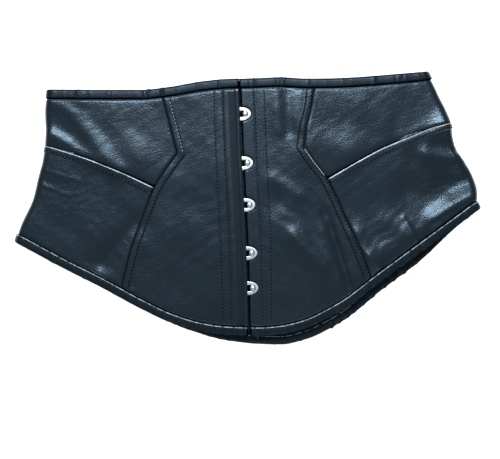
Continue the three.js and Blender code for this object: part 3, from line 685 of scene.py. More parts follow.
# Bells beside a line. Columns: distance from it, spread and rise in mm, shade: painted
# shade above 0, painted highlight below 0
BY_LONG_SEAM = [
    (0, 1.1, -0.8, 0), (0, 0.9, 0, 0.9), (FELL_WIDTH + 1, 0.8, 0, 0.35), (2.6, 1.2, 0, -0.35),
]
BY_LEFT_EDGE = [(2.4, 1.4, 0.35, 0), (0, 0.7, -0.6, 0), (2.2, 1.2, 0, -0.4), (0, 0.4, 0, 0.5)]
BY_RIGHT_EDGE = [(0.8, 1.1, -0.8, 0)]
BELOW_CROSS = [
    (0, 1.0, -0.28, 0), (STRIP_WIDTH + 1, 0.8, 0, 0.35), (0.7, 0.5, 0, -1.15), (3.5, 1.8, 0, 0.35),
    (STRIP_ROW, STITCH_DIP_WIDTH, -STITCH_DIP, 0),
]
ABOVE_CROSS = [(0, 1.6, -0.6, 0), (0.3, 0.9, 0, 0.9)]
SIDE_BY_SEAM = [(0, 1.4, -0.5, 0), (0, 0.9, 0, 0.8)]


def bells(distance, table):
    """Rise and shade of all the bells beside a line, summed."""
    return [sum(row[k] * bump(distance, row[0], row[1]) for row in table) for k in (2, 3)]


def off(curve, at, value):
    """Distance from the curve value = curve(at), taken square to it."""
    slope = curve(at + 0.5) - curve(at - 0.5)
    return (value - curve(at)) / np.hypot(1, slope)


def seam_distance(half, place):
    """Distance from the long seam, above 0 on the front panel."""
    return np.maximum(-half.sign * off(half.above, place.imag, place.real),
                      -half.sign * off(half.below, place.imag, place.real))


def centre_distance(half, place):
    return half.sign * off(centre_front, place.imag, place.real)


def plate_shadow_and_dent(place):
    """Mask of painted shadow and dent under a busk loop's plate and just round it: 1 there,
    0 elsewhere, from an ellipse's level.
    """
    mark = np.zeros(place.shape)
    for at, turn, *_ in seats:
        local = (place - at) * np.exp(-1j * turn)
        level = np.hypot(local.real / (LOOP_REACH + PLATE_MARGIN),
                         local.imag / (LOOP_WIDTH / 2 + PLATE_MARGIN))
        mark = np.maximum(mark, 1 - soft_step(0.9, 1.04, level))
    return mark


def front_relief(half, place):
    """Busk band, bone channel, felled seam, thread rows and rolled edges, with their
    painted shade and highlights.
    """
    seam, centre = seam_distance(half, place), centre_distance(half, place)
    rows = LEFT_BUSK_ROWS if half.sign < 0 else RIGHT_BUSK_ROWS
    band_edge = soft_step(rows[0] - 3.5, rows[0] + 1.5, centre)
    fell_edge = soft_step(FELL_WIDTH, FELL_WIDTH + 1.0, seam)
    channel = 0.2 * bump(centre, (rows[0] + rows[1]) / 2, 3.4)
    seam_rise, shade = bells(seam, BY_LONG_SEAM)
    edge_rise, edge_shade = bells(centre, BY_LEFT_EDGE if half.sign < 0 else BY_RIGHT_EDGE)
    rise = BAND_RISE * (1 - band_edge) + FELL_RISE * (1 - fell_edge) + channel
    rise, shade = rise + seam_rise + edge_rise, shade + edge_shade
    if half.sign < 0:
        # A band of painted shade beside the left busk
        band = soft_step(3.5, 5, centre) * (1 - soft_step(10, 17, centre))
        rise, shade = rise - 0.35 * band, shade + 0.6 * band
    else:
        mark = plate_shadow_and_dent(place)
        rise = rise - PLATE_SINK * mark
        # Painted shade in the busk's gap and painted shadow under and round each plate
        shade = shade + 1 - soft_step(1.9, 2.9, centre) + mark
        # Painted shade on the flank between that bend and the fell
        start, stop = (complex(X(x), Y(y)) for x, y in FACET)
        local = (place - start) / (stop - start) * abs(stop - start)
        facet = soft_step(-0.6, 0.6, local.imag) * soft_step(0, 20, local.real)
        shade = shade + FACET_SHADE * facet * soft_step(FELL_WIDTH + 1, FELL_WIDTH + 3, seam)
        # A painted highlight along the fell's edge between the junction and the corner
        folded = soft_step(half.junction_y, half.junction_y + 5, place.imag)
        folded = folded * (1 - soft_step(half.corner_y - 4, half.corner_y, place.imag))
        shade = shade - 1.7 * folded * bump(seam, 0.9, 0.4)
    for distance, lines in ((centre, rows), (seam, FELL_ROWS[half.sign])):
        for row in lines:
            rise = rise - STITCH_DIP * bump(distance, row, STITCH_DIP_WIDTH)
    return rise, shade


def side_relief(half, place, v):
    """The strip below the cross seam, its thread row, and edges that sink at seams, with
    their painted shade and highlights.
    """
    below = (JUNCTION - v) / JUNCTION * half.lower_run
    above = (v - JUNCTION) / (1 - JUNCTION) * half.upper_run
    edge = 1 - soft_step(STRIP_WIDTH - 0.6, STRIP_WIDTH + 0.6, below)
    low_rise, low_shade = bells(below, BELOW_CROSS)
    high_rise, high_shade = bells(above, ABOVE_CROSS)
    # A painted highlight along the strip's lower line near the fold
    by_fold = soft_step(128, 158, abs(place.real))
    low_shade = low_shade - 0.95 * by_fold * bump(below, 7.5, 0.45)
    lower = v < JUNCTION
    return (np.where(lower, low_rise + STRIP_RISE * edge, high_rise),
            np.where(lower, low_shade, high_shade))


def relief(half, zone, s, v, point):
    """Rise of the outer face over the even wall, faded out under the tape, and the
    painted shade and highlights.
    """
    place = point[..., 0] + 1j * point[..., 1]
    rise = waves(point)
    hand_made = ridges(place, CREASES, 1, 1) + wrinkles(place)
    if zone == "front":
        shape, shade = front_relief(half, place)
        stiff = soft_step(6, BUSK_STIFF, centre_distance(half, place))
        rise = rise * stiff + shape + hand_made
    elif zone == "back":
        shape, shade = side_relief(half, place, v)
        rise, shade = np.minimum(rise, 0) * soft_step(0, 0.1, s), shade * 0.4
    else:
        shape, shade = side_relief(half, place, v)
        shown = np.cos(np.pi / 2 * s) ** 2 if zone == "turn" else 1
        rise = (rise + shape + hand_made) * shown
        if zone == "side":
            seam_rise, seam_shade = bells(seam_distance(half, place), SIDE_BY_SEAM)
            rise, shade = rise + seam_rise, shade + seam_shade
    tape = half.from_tape("side", 1.0, v) if zone == "turn" else half.from_tape(zone, s, v)
    # The outer part of the turn round the fold gets painted shade, which also dulls its mirror
    # light
    if zone == "turn":
        shade = shade + soft_step(0.3, 0.45, s)
    if zone != "back":
        # Patches of painted sheen lighten the tone where no other shade is painted
        shade = shade - painted_sheen(place) * (1 - np.minimum(abs(shade), 1))
    if zone == "front":
        # A painted highlight just below the top tape near the busk
        by_busk = bump(centre_distance(half, place), 8, 16) * (v > CORNER)
        shade = shade - 0.9 * by_busk * bump(tape, 2.6, 0.6)
    rise = (rise - 0.6 * bump(tape, 1.0, 1.0)) * soft_step(-0.3, 2.2, tape)
    # Beside the tape a line of painted shade
    return rise, np.where(tape < 2, np.maximum(shade, bump(tape, 0.3, 1.2)), shade)


def skin(half, zone, s, v):
    """Middle point, outward direction, relief and shade at s and v."""
    s, v = np.broadcast_arrays(np.asarray(s, float), np.asarray(v, float))
    point = middle(half, zone, s, v)
    return point, square_to(half, zone, s, v), *relief(half, zone, s, v, point)


print("thread rows beside the left busk, mm:", LEFT_BUSK_ROWS)

# %% [markdown]
# ## Meshes
# Every soft piece here is a closed surface on a grid. Its points come as whole numpy
# arrays, and its faces from the grid's own numbering, so no loop visits a vertex. The
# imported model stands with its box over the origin, so one shift, read off a stud,
# moves the plan's places to the frame's.

# %% From grids to Blender meshes
stud_low, stud_high = (np.array(corner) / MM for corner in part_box("busk_stud_1"))
stud_bottom = seats[0][4] - WALL / 2 - METAL_FIT - FLANGE_THICK
SHIFT = np.array([
    (stud_low[0] + stud_high[0]) / 2 - seats[0][3].real,
    (stud_low[1] + stud_high[1]) / 2 - seats[0][3].imag,
    stud_low[2] - stud_bottom,
])
print("plan to frame, mm:", np.round(SHIFT, 3))


def grid_faces(rows, columns, first=0, wrap=False):
    """Quads of a grid whose points are numbered row by row. wrap joins its columns."""
    ahead = columns if wrap else columns - 1
    j, i = np.meshgrid(np.arange(rows - 1), np.arange(ahead), indexing="ij")
    k = (i + 1) % columns
    corners = [j * columns + i, j * columns + k, (j + 1) * columns + k, (j + 1) * columns + i]
    return first + np.stack([c.ravel() for c in corners], axis=1)


def sheet_faces(rows, columns):
    """Quads of a closed sheet: an outer grid, an inner grid and the rim between them."""
    outer = grid_faces(rows, columns)
    under = rows * columns
    inner = grid_faces(rows, columns, under)[:, ::-1]
    numbers = np.arange(under).reshape(rows, columns)
    rim = np.concatenate([numbers[0, :-1], numbers[:-1, -1], numbers[-1, :0:-1],
                          numbers[:0:-1, 0]])
    ahead = np.roll(rim, -1)
    wall = np.stack([rim, rim + under, ahead + under, ahead], axis=1)
    return np.concatenate([outer, inner, wall])


def turned_out(points, quads):
    """The same quads, all turned the other way if they enclose a volume below 0."""
    a, b, c, d = (points[quads[:, k]] for k in range(4))
    volume = np.einsum("ij,ij->i", a, np.cross(b, c) + np.cross(c, d)).sum()
    return quads if volume > 0 else quads[:, ::-1]


def make_piece(name, points, quads, material, replaces=(), sharp=50, shade=None):
    """A piece from plan points in mm and quads. It rides on the one body. shade is kept
    as an attribute: painted shade up to 1, and a painted highlight down to -1."""
    points = np.asarray(points, float).reshape(-1, 3) + SHIFT
    quads = turned_out(points, quads)
    mesh = bpy.data.meshes.new(name)
    mesh.vertices.add(len(points))
    mesh.vertices.foreach_set("co", (points * MM).astype(np.float32).ravel())
    mesh.loops.add(quads.size)
    mesh.loops.foreach_set("vertex_index", quads.astype(np.int32).ravel())
    mesh.polygons.add(len(quads))
    mesh.polygons.foreach_set("loop_start", np.arange(0, quads.size, 4, dtype=np.int32))
    mesh.polygons.foreach_set("use_smooth", np.ones(len(quads), bool))
    mesh.update(calc_edges=True)
    mesh.validate()
    if shade is not None:
        kept = mesh.attributes.new("shade", "FLOAT", "POINT")
        kept.data.foreach_set("value", np.clip(shade, -1, 1).astype(np.float32).ravel())
    mesh.set_sharp_from_angle(angle=math.radians(sharp))
    mesh.materials.append(material)
    piece = bpy.data.objects.new(name, mesh)
    bpy.context.scene.collection.objects.link(piece)
    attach(piece, "root")
    if replaces:
        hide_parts(*replaces)
    print(f"{name}: {2 * len(quads)} triangles")
    return piece


# %% [markdown]
# ## Finishes
# Shader maths is written as plain sums. A Socket wraps a node's output, and each
# operator on it adds a Math node, so the recipe reads like the formula it stands for.

# %% A small language for materials
class Socket:
    """A node's output in a sum. Each operator adds one Math node."""

    def __init__(self, recipe, output):
        self.recipe, self.output = recipe, output

    def maths(self, operation, *values):
        return self.recipe.node("ShaderNodeMath", {"operation": operation}, dict(enumerate(values)))

    def __add__(self, other):
        return self.maths("ADD", self, other)

    def __sub__(self, other):
        return self.maths("SUBTRACT", self, other)

    def __rsub__(self, other):
        return self.maths("SUBTRACT", other, self)

    def __mul__(self, other):
        return self.maths("MULTIPLY", self, other)

    def __pow__(self, other):
        return self.maths("POWER", self, other)

    def __abs__(self):
        return self.maths("ABSOLUTE", self)

    __radd__, __rmul__ = __add__, __mul__

    def between(self, low, high):
        """0 below low, 1 above high and a soft step between them."""
        return self.recipe.node("ShaderNodeMapRange", {"interpolation_type": "SMOOTHSTEP"},
                                {"Value": self, "From Min": low, "From Max": high})


class Recipe:
    """One material. node() adds every node, with its settings set before its sockets."""

    def __init__(self, name):
        self.material = bpy.data.materials.new(name)
        self.material.use_nodes = True
        self.tree = self.material.node_tree
        self.shader = self.tree.nodes["Principled BSDF"]

    def put(self, node, sockets):
        for key, value in sockets.items():
            if isinstance(value, Socket):
                self.tree.links.new(value.output, node.inputs[key])
            else:
                node.inputs[key].default_value = value

    def node(self, kind, settings=None, sockets=None, output=0):
        node = self.tree.nodes.new(kind)
        for key, value in (settings or {}).items():
            setattr(node, key, value)
        self.put(node, sockets or {})
        return Socket(self, node.outputs[output])

    def mix(self, factor, first, second):
        """A colour between two, through a Mix node."""
        return self.node("ShaderNodeMix", {"data_type": "RGBA"},
                         {0: factor, 6: first, 7: second}, output=2)

    def noise(self, place, scale, detail=2.0, roughness=0.5, distortion=0.0):
        return self.node("ShaderNodeTexNoise", None, {
            "Vector": place, "Scale": scale, "Detail": detail, "Roughness": roughness,
            "Distortion": distortion})

    def finish(self, **sockets):
        """Sets the surface shader's sockets. Spaces in their names are written _."""
        self.put(self.shader, {key.replace("_", " "): value for key, value in sockets.items()})
        return self.material


# %% [markdown]
# ## Leather
# Smooth corset leather is nearly black and takes its tone from what it reflects. Its
# grain is a net of tiny pebbles, broken by fine creases, and the gloss changes from
# place to place where it has been handled. Voronoi cells give the pebbles, stretched
# noise the creases, and slow noise the change of tone.

# %% Leather, tape and thread
# The pale tone of the painted highlights
HIGHLIGHT_TONE = (0.60, 0.66, 0.70, 1.0)


def leather(name, deep, pale, gloss, grain, bend):
    """Pebbles, creases and slow changes of tone on Object coordinates. The shade attribute
    paints shade towards black and, below 0, a painted highlight in a pale tone. Where the
    painted shade is deep, a black base with Metallic at 1 takes away the mirror light too."""
    recipe = Recipe(name)
    place = recipe.node("ShaderNodeTexCoord", output=3)
    shade = recipe.node("ShaderNodeAttribute", {"attribute_name": "shade"}, output=2)
    pebbles = recipe.node("ShaderNodeTexVoronoi", {"feature": "SMOOTH_F1"},
                          {"Vector": place, "Scale": 720.0, "Smoothness": 0.5})
    fine = recipe.noise(place, 520.0, detail=4.0, roughness=0.65)
    creases = abs(recipe.noise(place, 95.0, detail=5.0, roughness=0.62, distortion=0.6) - 0.5)
    lines = 1 - creases.between(0.0, 0.03)
    slow = recipe.noise(place, 24.0, detail=3.0, roughness=0.55)
    patches = slow.between(0.35, 0.68)
    height = fine * 0.8 - pebbles * 0.8 - lines * 0.05
    normal = recipe.node("ShaderNodeBump", None, {
        "Strength": grain, "Distance": 0.00035, "Height": height})
    # The shade attribute gives painted shade above 0 and a painted highlight below 0
    dark, painted_highlight = shade.between(0.0, 1.0), (0 - shade).between(0.0, 1.0)
    tone = recipe.mix(patches * 0.25 + fine * 0.35, deep, pale)
    tone = recipe.mix(painted_highlight ** 5.0, tone, HIGHLIGHT_TONE)
    tone = recipe.mix(dark * 0.95, tone, (0.001, 0.0012, 0.0015, 1.0))
    # Deep painted shade also loses its mirror light: a black base with Metallic at 1
    black = dark ** 2.0
    rough = gloss + patches * 0.02 + fine * 0.05 + black * 0.7 - painted_highlight * 0.05
    return recipe.finish(Base_Color=tone, Roughness=rough, Metallic=black, Normal=normal,
                         IOR=bend, Specular_Tint=(0.62, 0.82, 1.0, 1.0))


panel_leather = leather("panel_leather", (0.0108, 0.018, 0.0245, 1.0), (0.017, 0.0275, 0.0375, 1.0),
                        0.225, 0.32, 1.5)
tape_leather = leather("tape_leather", (0.0085, 0.0145, 0.020, 1.0), (0.013, 0.0215, 0.0295, 1.0),
                        0.26, 0.32, 1.36)


def painted_hole_shadow():
    """Painted shadow for the inside of a needle hole, a little uneven."""
    recipe = Recipe("hole_shadow")
    place = recipe.node("ShaderNodeTexCoord", output=3)
    tone = recipe.mix(recipe.noise(place, 500.0), (0.0006, 0.0008, 0.001, 1.0),
                      (0.0025, 0.003, 0.004, 1.0))
    return recipe.finish(Base_Color=tone, Roughness=0.9, IOR=1.1)


def thread(name, deep, pale):
    """Twisted waxed thread: fine slanting bands along each stitch."""
    recipe = Recipe(name)
    place = recipe.node("ShaderNodeTexCoord", output=3)
    twist = recipe.node("ShaderNodeTexWave", {"wave_type": "BANDS", "bands_direction": "DIAGONAL"},
                        {"Vector": place, "Scale": 900.0, "Distortion": 1.0})
    tone = recipe.mix(twist, deep, pale)
    normal = recipe.node("ShaderNodeBump", None, {
        "Strength": 0.5, "Distance": 0.0001, "Height": twist})
    return recipe.finish(Base_Color=tone, Roughness=0.4, Normal=normal)


def steel():
    """Nickel-plated steel: bright, with faint brushing and a little haze."""
    recipe = Recipe("busk_steel")
    place = recipe.node("ShaderNodeTexCoord", output=3)
    haze = recipe.noise(place, 260.0, detail=3.0)
    stretched = recipe.node("ShaderNodeMapping", None, {"Vector": place, "Scale": (2.0, 0.15, 1.0)})
    brushing = recipe.noise(stretched, 2600.0, detail=2.0)
    tone = recipe.mix(haze, (0.60, 0.62, 0.62, 1.0), (0.76, 0.78, 0.78, 1.0))
    normal = recipe.node("ShaderNodeBump", None, {
        "Strength": 0.15, "Distance": 0.00005, "Height": brushing})
    return recipe.finish(Base_Color=tone, Roughness=haze * 0.12 + 0.34, Metallic=1.0, Normal=normal)


hole_shadow = painted_hole_shadow()
waxed_thread = thread("waxed_thread", (0.010, 0.014, 0.018, 1.0), (0.028, 0.036, 0.045, 1.0))
# Pale thread: a painted highlight on the stitches of the left upper seam
highlight_thread = thread("highlight_thread", (0.25, 0.32, 0.37, 1.0), (0.45, 0.52, 0.58, 1.0))
busk_steel = steel()
print("finishes:", [m.name for m in bpy.data.materials])

# %% [markdown]
# ## Leather panels
# Each half is cut into a front panel, an upper and a lower side panel that wrap round
# the fold, and a back panel. A seam is only a few millimetres wide, so grid lines that
# run beside it at set distances draw it crisply, and even steps are enough elsewhere.

# %% Where the grid lines run
EDGE_UNDER_TAPE = 1 - TAPE_COVER / BINDING_WIDTH
joint = SEAM_GAP / 2
CLOSED_GAP = 0.02
# Even steps along and across each kind of panel, beside the set distances
FRONT_ROWS, FRONT_COLUMNS = 166, 82
SIDE_ROWS, SIDE_COLUMNS, TURN_COLUMNS, WRAP_COLUMNS = 66, 96, 25, 28
BACK_ROWS, BACK_COLUMNS = 74, 62
# Distances in mm from the tape, a joint, a felled joint and the busk's edge
BY_TAPE = np.array([0, 0.4, 0.8, 1.2, 1.7, 2.3, 3.1, 4.2])
BY_JOINT = np.array([joint, 0.5, 0.8, 1.2, 1.6, 2.1, 2.8, 4.0])
BY_FELL = np.array([joint, 0.5, 0.8, 1.2, 1.6, 2.1, 2.7, 3.4, 4.2, 5.0, 5.6, 6.0, 6.4, 6.8, 7.2,
                    7.7, 8.3, 9.5])
BY_BUSK = np.array([1.25, 1.6, 2.0, 2.5, 3.0, 3.6, 4.2, 5.0, 6.2, 7.6, 9.0, 10.4, 11.8, 13.0,
                    13.8, 14.5, 15.0, 15.5, 16.1, 16.6, 17.0, 17.4, 17.9, 18.6, 19.8, 21.2, 22.6,
                    23.6, 24.1, 24.5, 25.0, 25.6, 26.0, 26.4, 27.0, 28.0])


def between_ends(start, stop, length, count):
    """Places from 0 to length: the start distances, count even ones, the stop distances."""
    length = np.asarray(length, float)[..., None]
    low, high = start + 0 * length, length - stop[::-1]
    even = np.linspace(0, 1, count + 2)[1:-1]
    between = low[..., -1:] + (high[..., :1] - low[..., -1:]) * even
    return np.concatenate([low, between, high], axis=-1)


def span(half, stretch, v, start, stop, count):
    """The same along a stretch for each row, as shares of the row's own length."""
    length = half.row_length(stretch, v)
    return between_ends(start, stop, length, count) / length[:, None]


def tall_rows(half, count):
    """Steps in v from hem to top: set distances from both tapes, and even steps."""
    low = BY_TAPE / (half.junction_y - half.centre_y(0)) * JUNCTION
    high = BY_TAPE / (half.centre_y(1) - half.corner_y) * (1 - CORNER)
    return np.concatenate([under_hem, between_ends(low, high, 1, count), under_top])


under_hem = -EDGE_UNDER_TAPE * np.array([1, 0.6, 0.25])
under_top = 1 + EDGE_UNDER_TAPE * np.array([0.25, 0.6, 1])
print("columns beside the busk:", len(BY_BUSK))


# %% Panels
def panel(name, half, v, stretches, material):
    """A closed sheet over rows v and one or more stretches, as (zone, shares) pairs."""
    parts = [skin(half, zone, s, v[:, None]) for zone, s in stretches]
    point = np.concatenate([part[0] for part in parts], axis=1)
    normal = np.concatenate([part[1] for part in parts], axis=1)
    rise, shade = (np.concatenate([part[k] for part in parts], axis=1) for k in (2, 3))
    outer, inner = point + normal * (WALL / 2 + rise[..., None]), point - normal * WALL / 2
    rows, columns = point.shape[:2]
    return make_piece(name, np.stack([outer, inner]), sheet_faces(rows, columns), material,
                      replaces=(name,), shade=np.stack([shade, 0 * shade]))


for half in halves:
    full_rows = tall_rows(half, FRONT_ROWS)
    at_busk = (0.2, 0.5, 0.85) if half.sign < 0 else (1.0,)
    front_columns = span(half, "front", full_rows, np.append(at_busk, BY_BUSK), BY_FELL,
                         FRONT_COLUMNS)
    panel(f"front_{half.name}_panel", half, full_rows, [("front", front_columns)], panel_leather)
    low_rows = between_ends(BY_TAPE, BY_FELL, half.lower_run, SIDE_ROWS)
    low_rows = low_rows / half.lower_run * JUNCTION
    high_rows = between_ends(BY_JOINT, BY_TAPE, half.upper_run, SIDE_ROWS) / half.upper_run
    low_rows = np.concatenate([under_hem, low_rows])
    high_rows = np.concatenate([JUNCTION + (1 - JUNCTION) * high_rows, under_top])
    for level, v in (("lower", low_rows), ("upper", high_rows)):
        back_stop = SIDE_WRAP / half.row_length("back", v) - joint / half.row_length("back", v)
        panel(f"{half.name}_{level}_side_panel", half, v,
              [("side", span(half, "side", v, BY_JOINT, np.array([0.0]), SIDE_COLUMNS)),
               ("turn", np.tile(np.linspace(0, 1, TURN_COLUMNS)[1:-1], (len(v), 1))),
               ("back", back_stop[:, None] * np.linspace(0, 1, WRAP_COLUMNS))],
              panel_leather)
    back_rows = tall_rows(half, BACK_ROWS)
    back_start = (SIDE_WRAP + joint) / half.row_length("back", back_rows)
    back_end = 1 - CLOSED_GAP / half.row_length("back", back_rows)
    back_shares = np.linspace(0, 1, BACK_COLUMNS)
    back_columns = back_start[:, None] + (back_end - back_start)[:, None] * back_shares
    panel(f"back_{half.name}_panel", half, back_rows, [("back", back_columns)], panel_leather)

# %% [markdown]
# ## Bindings
# The tape is folded over the raw edge and sewn through. It is longer than the curve
# that it covers, so it gathers into small puckers. Its section is a flat hook that is
# carried along the edge, and the puckers are narrow bells across it.

# %% Bindings
TAPE_DOME = 0.12
STATIONS = {"front": 110, "side": 120, "turn": 27, "back": 170}
tape_random = np.random.default_rng(5)


def hook_section():
    """The tape's section as (share of its width, height, side). It goes round the outer
    face from the inner line over the nose to the inside, and back along the hollow."""
    far, close = WALL / 2 + TAPE_COVER, WALL / 2 + 0.12
    corner = np.linspace(0, np.pi / 2, 5)
    lip = np.stack([0.11 * (1 - np.cos(corner)), close + (far - close) * np.sin(corner)], axis=1)
    flat = np.linspace(0.2, 0.78, 6)
    flat = np.stack([flat, far + TAPE_DOME * (1 - ((flat - 0.44) / 0.34) ** 2)], axis=1)
    angle = np.linspace(0, np.pi / 2, 6)[1:]
    nose = np.stack([0.78 + 0.22 * np.sin(angle), far * np.cos(angle)], axis=1)
    outer = np.concatenate([lip, flat, nose])
    hollow = np.array([(0.84, close * 0.9), (0.78, close), (0.4, close)])
    mirror = np.array([1, -1])
    return np.concatenate([outer, outer[-2::-1] * mirror, hollow[::-1] * mirror, hollow])


# For each edge: share across the belt, reach in mm and strength
GATHERS = {
    "top": [(0.300, 10, 1.1), (0.555, 18, 1.3)],
    "hem": [(0.400, 16, 1.0), (0.640, 20, 1.2), (0.740, 24, 1.5), (0.850, 22, 1.2)],
}
GATHER_LEVEL = {"top": 0.4, "hem": 0.8}
PUCKER_SPACING = 3.6


def gathered(x, end):
    """How strongly the tape is gathered at x: a level and a bell at each gather."""
    bells_at = (much * bump(x, X(share), reach) for share, reach, much in GATHERS[end])
    return GATHER_LEVEL[end] + sum(bells_at)


def puckers(run, share, length):
    """Narrow ridges across the tape at random places, each with its own slant."""
    count = int(length / PUCKER_SPACING)
    at = np.sort(tape_random.uniform(0, length, count))
    rise = tape_random.gamma(1.6, 0.17, count)
    width = tape_random.uniform(0.9, 2.0, count)
    slant = tape_random.normal(0, 1.6, count)
    total = np.zeros(np.broadcast_shapes(run.shape, share.shape))
    for k in range(count):
        total = total + min(rise[k], 0.8) * bump(run + slant[k] * share, at[k], width[k])
    return total


def binding(name, half, end, stations):
    """The hook section carried along an edge of the half, closed at both ends."""
    inner_v, outer_v = (0.0, -1.0) if end == "hem" else (1.0, 2.0)
    starts, stops = [], []
    for zone, s in stations:
        starts.append((middle(half, zone, s, inner_v), square_to(half, zone, s, inner_v)))
        stops.append((middle(half, zone, s, outer_v), square_to(half, zone, s, outer_v)))
    inner, inner_normal = (np.concatenate([part[k] for part in starts]) for k in (0, 1))
    outer, outer_normal = (np.concatenate([part[k] for part in stops]) for k in (0, 1))
    steps = np.linalg.norm(np.diff(outer, axis=0), axis=1)
    run = np.concatenate([[0], np.cumsum(steps)])[:, None]
    ring = hook_section()
    share, height = ring[None, :, 0], ring[None, :, 1]
    gather = puckers(run, share, run[-1, 0]) * gathered(outer[:, :1], end)
    facing = np.where(abs(height) > WALL / 2 + 0.5, 1.0, 0.0) * np.sign(height)
    height = height + (gather - 0.22) * facing * np.where(height > 0, 1, 0.6)
    share = share + 0.05 * (gather - 0.2) * (ring[None, :, 0] > 0.7)
    part = share[..., None]
    normal = inner_normal[:, None] * (1 - part) + outer_normal[:, None] * part
    normal = normal / np.linalg.norm(normal, axis=-1, keepdims=True)
    along = inner[:, None] + (outer - inner)[:, None] * part
    points = along + normal * height[..., None]
    points[..., 2] = np.maximum(points[..., 2], 0)
    rows, columns = points.shape[:2]
    faces = grid_faces(rows, columns, wrap=True)
    cap = hook_cap(columns)
    faces = np.concatenate([faces, cap[:, ::-1], cap + (rows - 1) * columns])
    # Painted highlight along the hem tape's lip, uneven along it, and painted shade along the top
    # tape's lip
    uneven = 1.35 + 0.5 * np.sin(run * 0.9) * np.sin(run * 0.31)
    lip_shadow, lip_highlight = 0.9 * bump(share, 0, 0.09), -uneven * bump(share, 0.10, 0.05)
    # Painted shade on the flat tape between puckers and over the nose
    shade = 0.35 * (1 - soft_step(0.0, 0.25, gather)) + soft_step(0.86, 0.96, share)
    shade = shade + (lip_shadow if end == "top" else lip_highlight)
    # Painted shade at the tape's end by the busk
    shade = shade + 2 * (1 - soft_step(0.6, 1.8, run))
    return make_piece(name, points, faces, tape_leather, replaces=(name,),
                      sharp=60, shade=shade)


def hook_cap(columns):
    """Quads that close an end of the hook. The hollow's points are used again and again,
    because it has fewer of them than the outer face."""
    ring = hook_section()
    hollow_start = int(np.argmax(np.cumsum(ring[:, 0] == ring[:, 0].max()) > 0)) * 2 + 1
    outer = np.arange(hollow_start)
    hollow = np.arange(hollow_start, columns)[::-1]
    middle_of = len(outer) // 2
    match = np.interp(ring[outer[:middle_of + 1], 0], [0, 0.4, 0.78, 1.0], [0, 0, 1, 2])
    picks = np.round(match).astype(int)
    half_count = len(hollow) // 2
    first = hollow[np.minimum(picks, half_count - 1)]
    second = hollow[len(hollow) - 1 - np.minimum(picks, half_count - 1)]
    chain = np.concatenate([first, second[-2::-1]])
    return np.stack([outer[:-1], outer[1:], chain[1:], chain[:-1]], axis=1)


for half in halves:
    for end in ("top", "hem"):
        gap_front = 0.8 if end == "hem" and half.sign > 0 else 0.05
        gap_front = gap_front / half.row_length("front", np.array(0.5))
        gap_back = CLOSED_GAP / half.row_length("back", np.array(0.5))
        even = {zone: np.linspace(0, 1, count) for zone, count in STATIONS.items()}
        stations = [
            ("front", gap_front + (1 - gap_front) * even["front"][:-1]),
            ("side", even["side"][:-1]),
            ("turn", even["turn"][:-1]),
            ("back", even["back"] * (1 - gap_back)),
        ]
        word = {"top": "top", "hem": "bottom"}[end]
        binding(f"{word}_binding_{half.name}", half, end, stations)

# %% [markdown]
# ## Thread
# Every seam is sewn with a long stitch of about 3.5 mm. One stitch is a short thread
# that rises out of the leather, lies on it and dives back into a needle hole. All
# stitches of a row are one mesh, worked out at once as an array of rings, and in the
# holes between them lie small lenses of painted shadow, flush with the leather.

# %% Stitches
PITCH = 3.5
STITCH_LENGTH = 2.5
THREAD_RADIUS = 0.33
HOLE_RADIUS = 0.8


def capsule_faces(rings, sides):
    """Quads of a closed tube of rings, with two quads over each six-sided end."""
    cap = np.array([(0, 1, 2, 5), (2, 3, 4, 5)])
    tube = grid_faces(rings, sides, wrap=True)
    return np.concatenate([tube, cap[:, ::-1], cap + (rings - 1) * sides])


def repeated(faces, count, points_each):
    """The same quads for each of count pieces, numbered one after another."""
    numbers = np.arange(count) * points_each
    return (faces[None] + numbers[:, None, None]).reshape(-1, 4)


def along_row(half, zone, s, v, step):
    """Frames at even steps along a row: place, up, ahead and across."""
    point, normal, rise, _ = skin(half, zone, s, v)
    path = point + normal * (WALL / 2 + rise)[:, None]
    run = np.concatenate([[0], np.cumsum(np.linalg.norm(np.diff(path, axis=0), axis=1))])
    at = np.arange(step, run[-1] - step, step)

    def pick(where, values):
        return np.stack([np.interp(where, run, values[:, k]) for k in range(3)], axis=1)

    ahead = pick(at + 0.4, path) - pick(at - 0.4, path)
    ahead = ahead / np.linalg.norm(ahead, axis=1, keepdims=True)
    up = pick(at, normal)
    return pick(at, path), up, ahead, np.cross(up, ahead)


def sew(name, half, runs, radius=THREAD_RADIUS, material=waxed_thread):
    """Stitches along rows given as (zone, s, v) arrays, and painted shadow in the holes
    between them. A stitch is seven rings of six points whose height falls off as its place
    to the power 4. A hole's painted shadow is three rings of six points."""
    threads, holes = [], []
    side = np.arange(6) * np.pi / 3
    ring, depth = np.linspace(-1, 1, 7), np.array([-0.5, 0.0, 0.06])
    lift, thick = radius * (0.6 - 1.5 * ring ** 4), radius * (1 - 0.3 * ring ** 2)
    spread = HOLE_RADIUS * np.array([0.5, 1.0, 0.8])
    for zone, s, v in runs:
        place, up, ahead, across = (f[:, None, None] for f in along_row(half, zone, s, v, PITCH))
        around = across * np.cos(side)[:, None] + up * np.sin(side)[:, None]
        centre = place + ahead * (ring * STITCH_LENGTH / 2)[:, None, None]
        centre = centre + up * lift[:, None, None]
        threads.append((centre + around * thick[:, None, None]).reshape(-1, 3))
        flat = across * np.sin(side)[:, None] + ahead * np.cos(side)[:, None]
        centre = place + ahead * PITCH / 2 + up * depth[:, None, None]
        holes.append((centre + flat * spread[:, None, None]).reshape(-1, 3))
    threads, holes = np.concatenate(threads), np.concatenate(holes)
    make_piece(name, threads, repeated(capsule_faces(7, 6), len(threads) // 42, 42), material,
               sharp=80)
    make_piece(name.replace("stitching", "hole_shadows"), holes,
               repeated(capsule_faces(3, 6), len(holes) // 18, 18), hole_shadow)


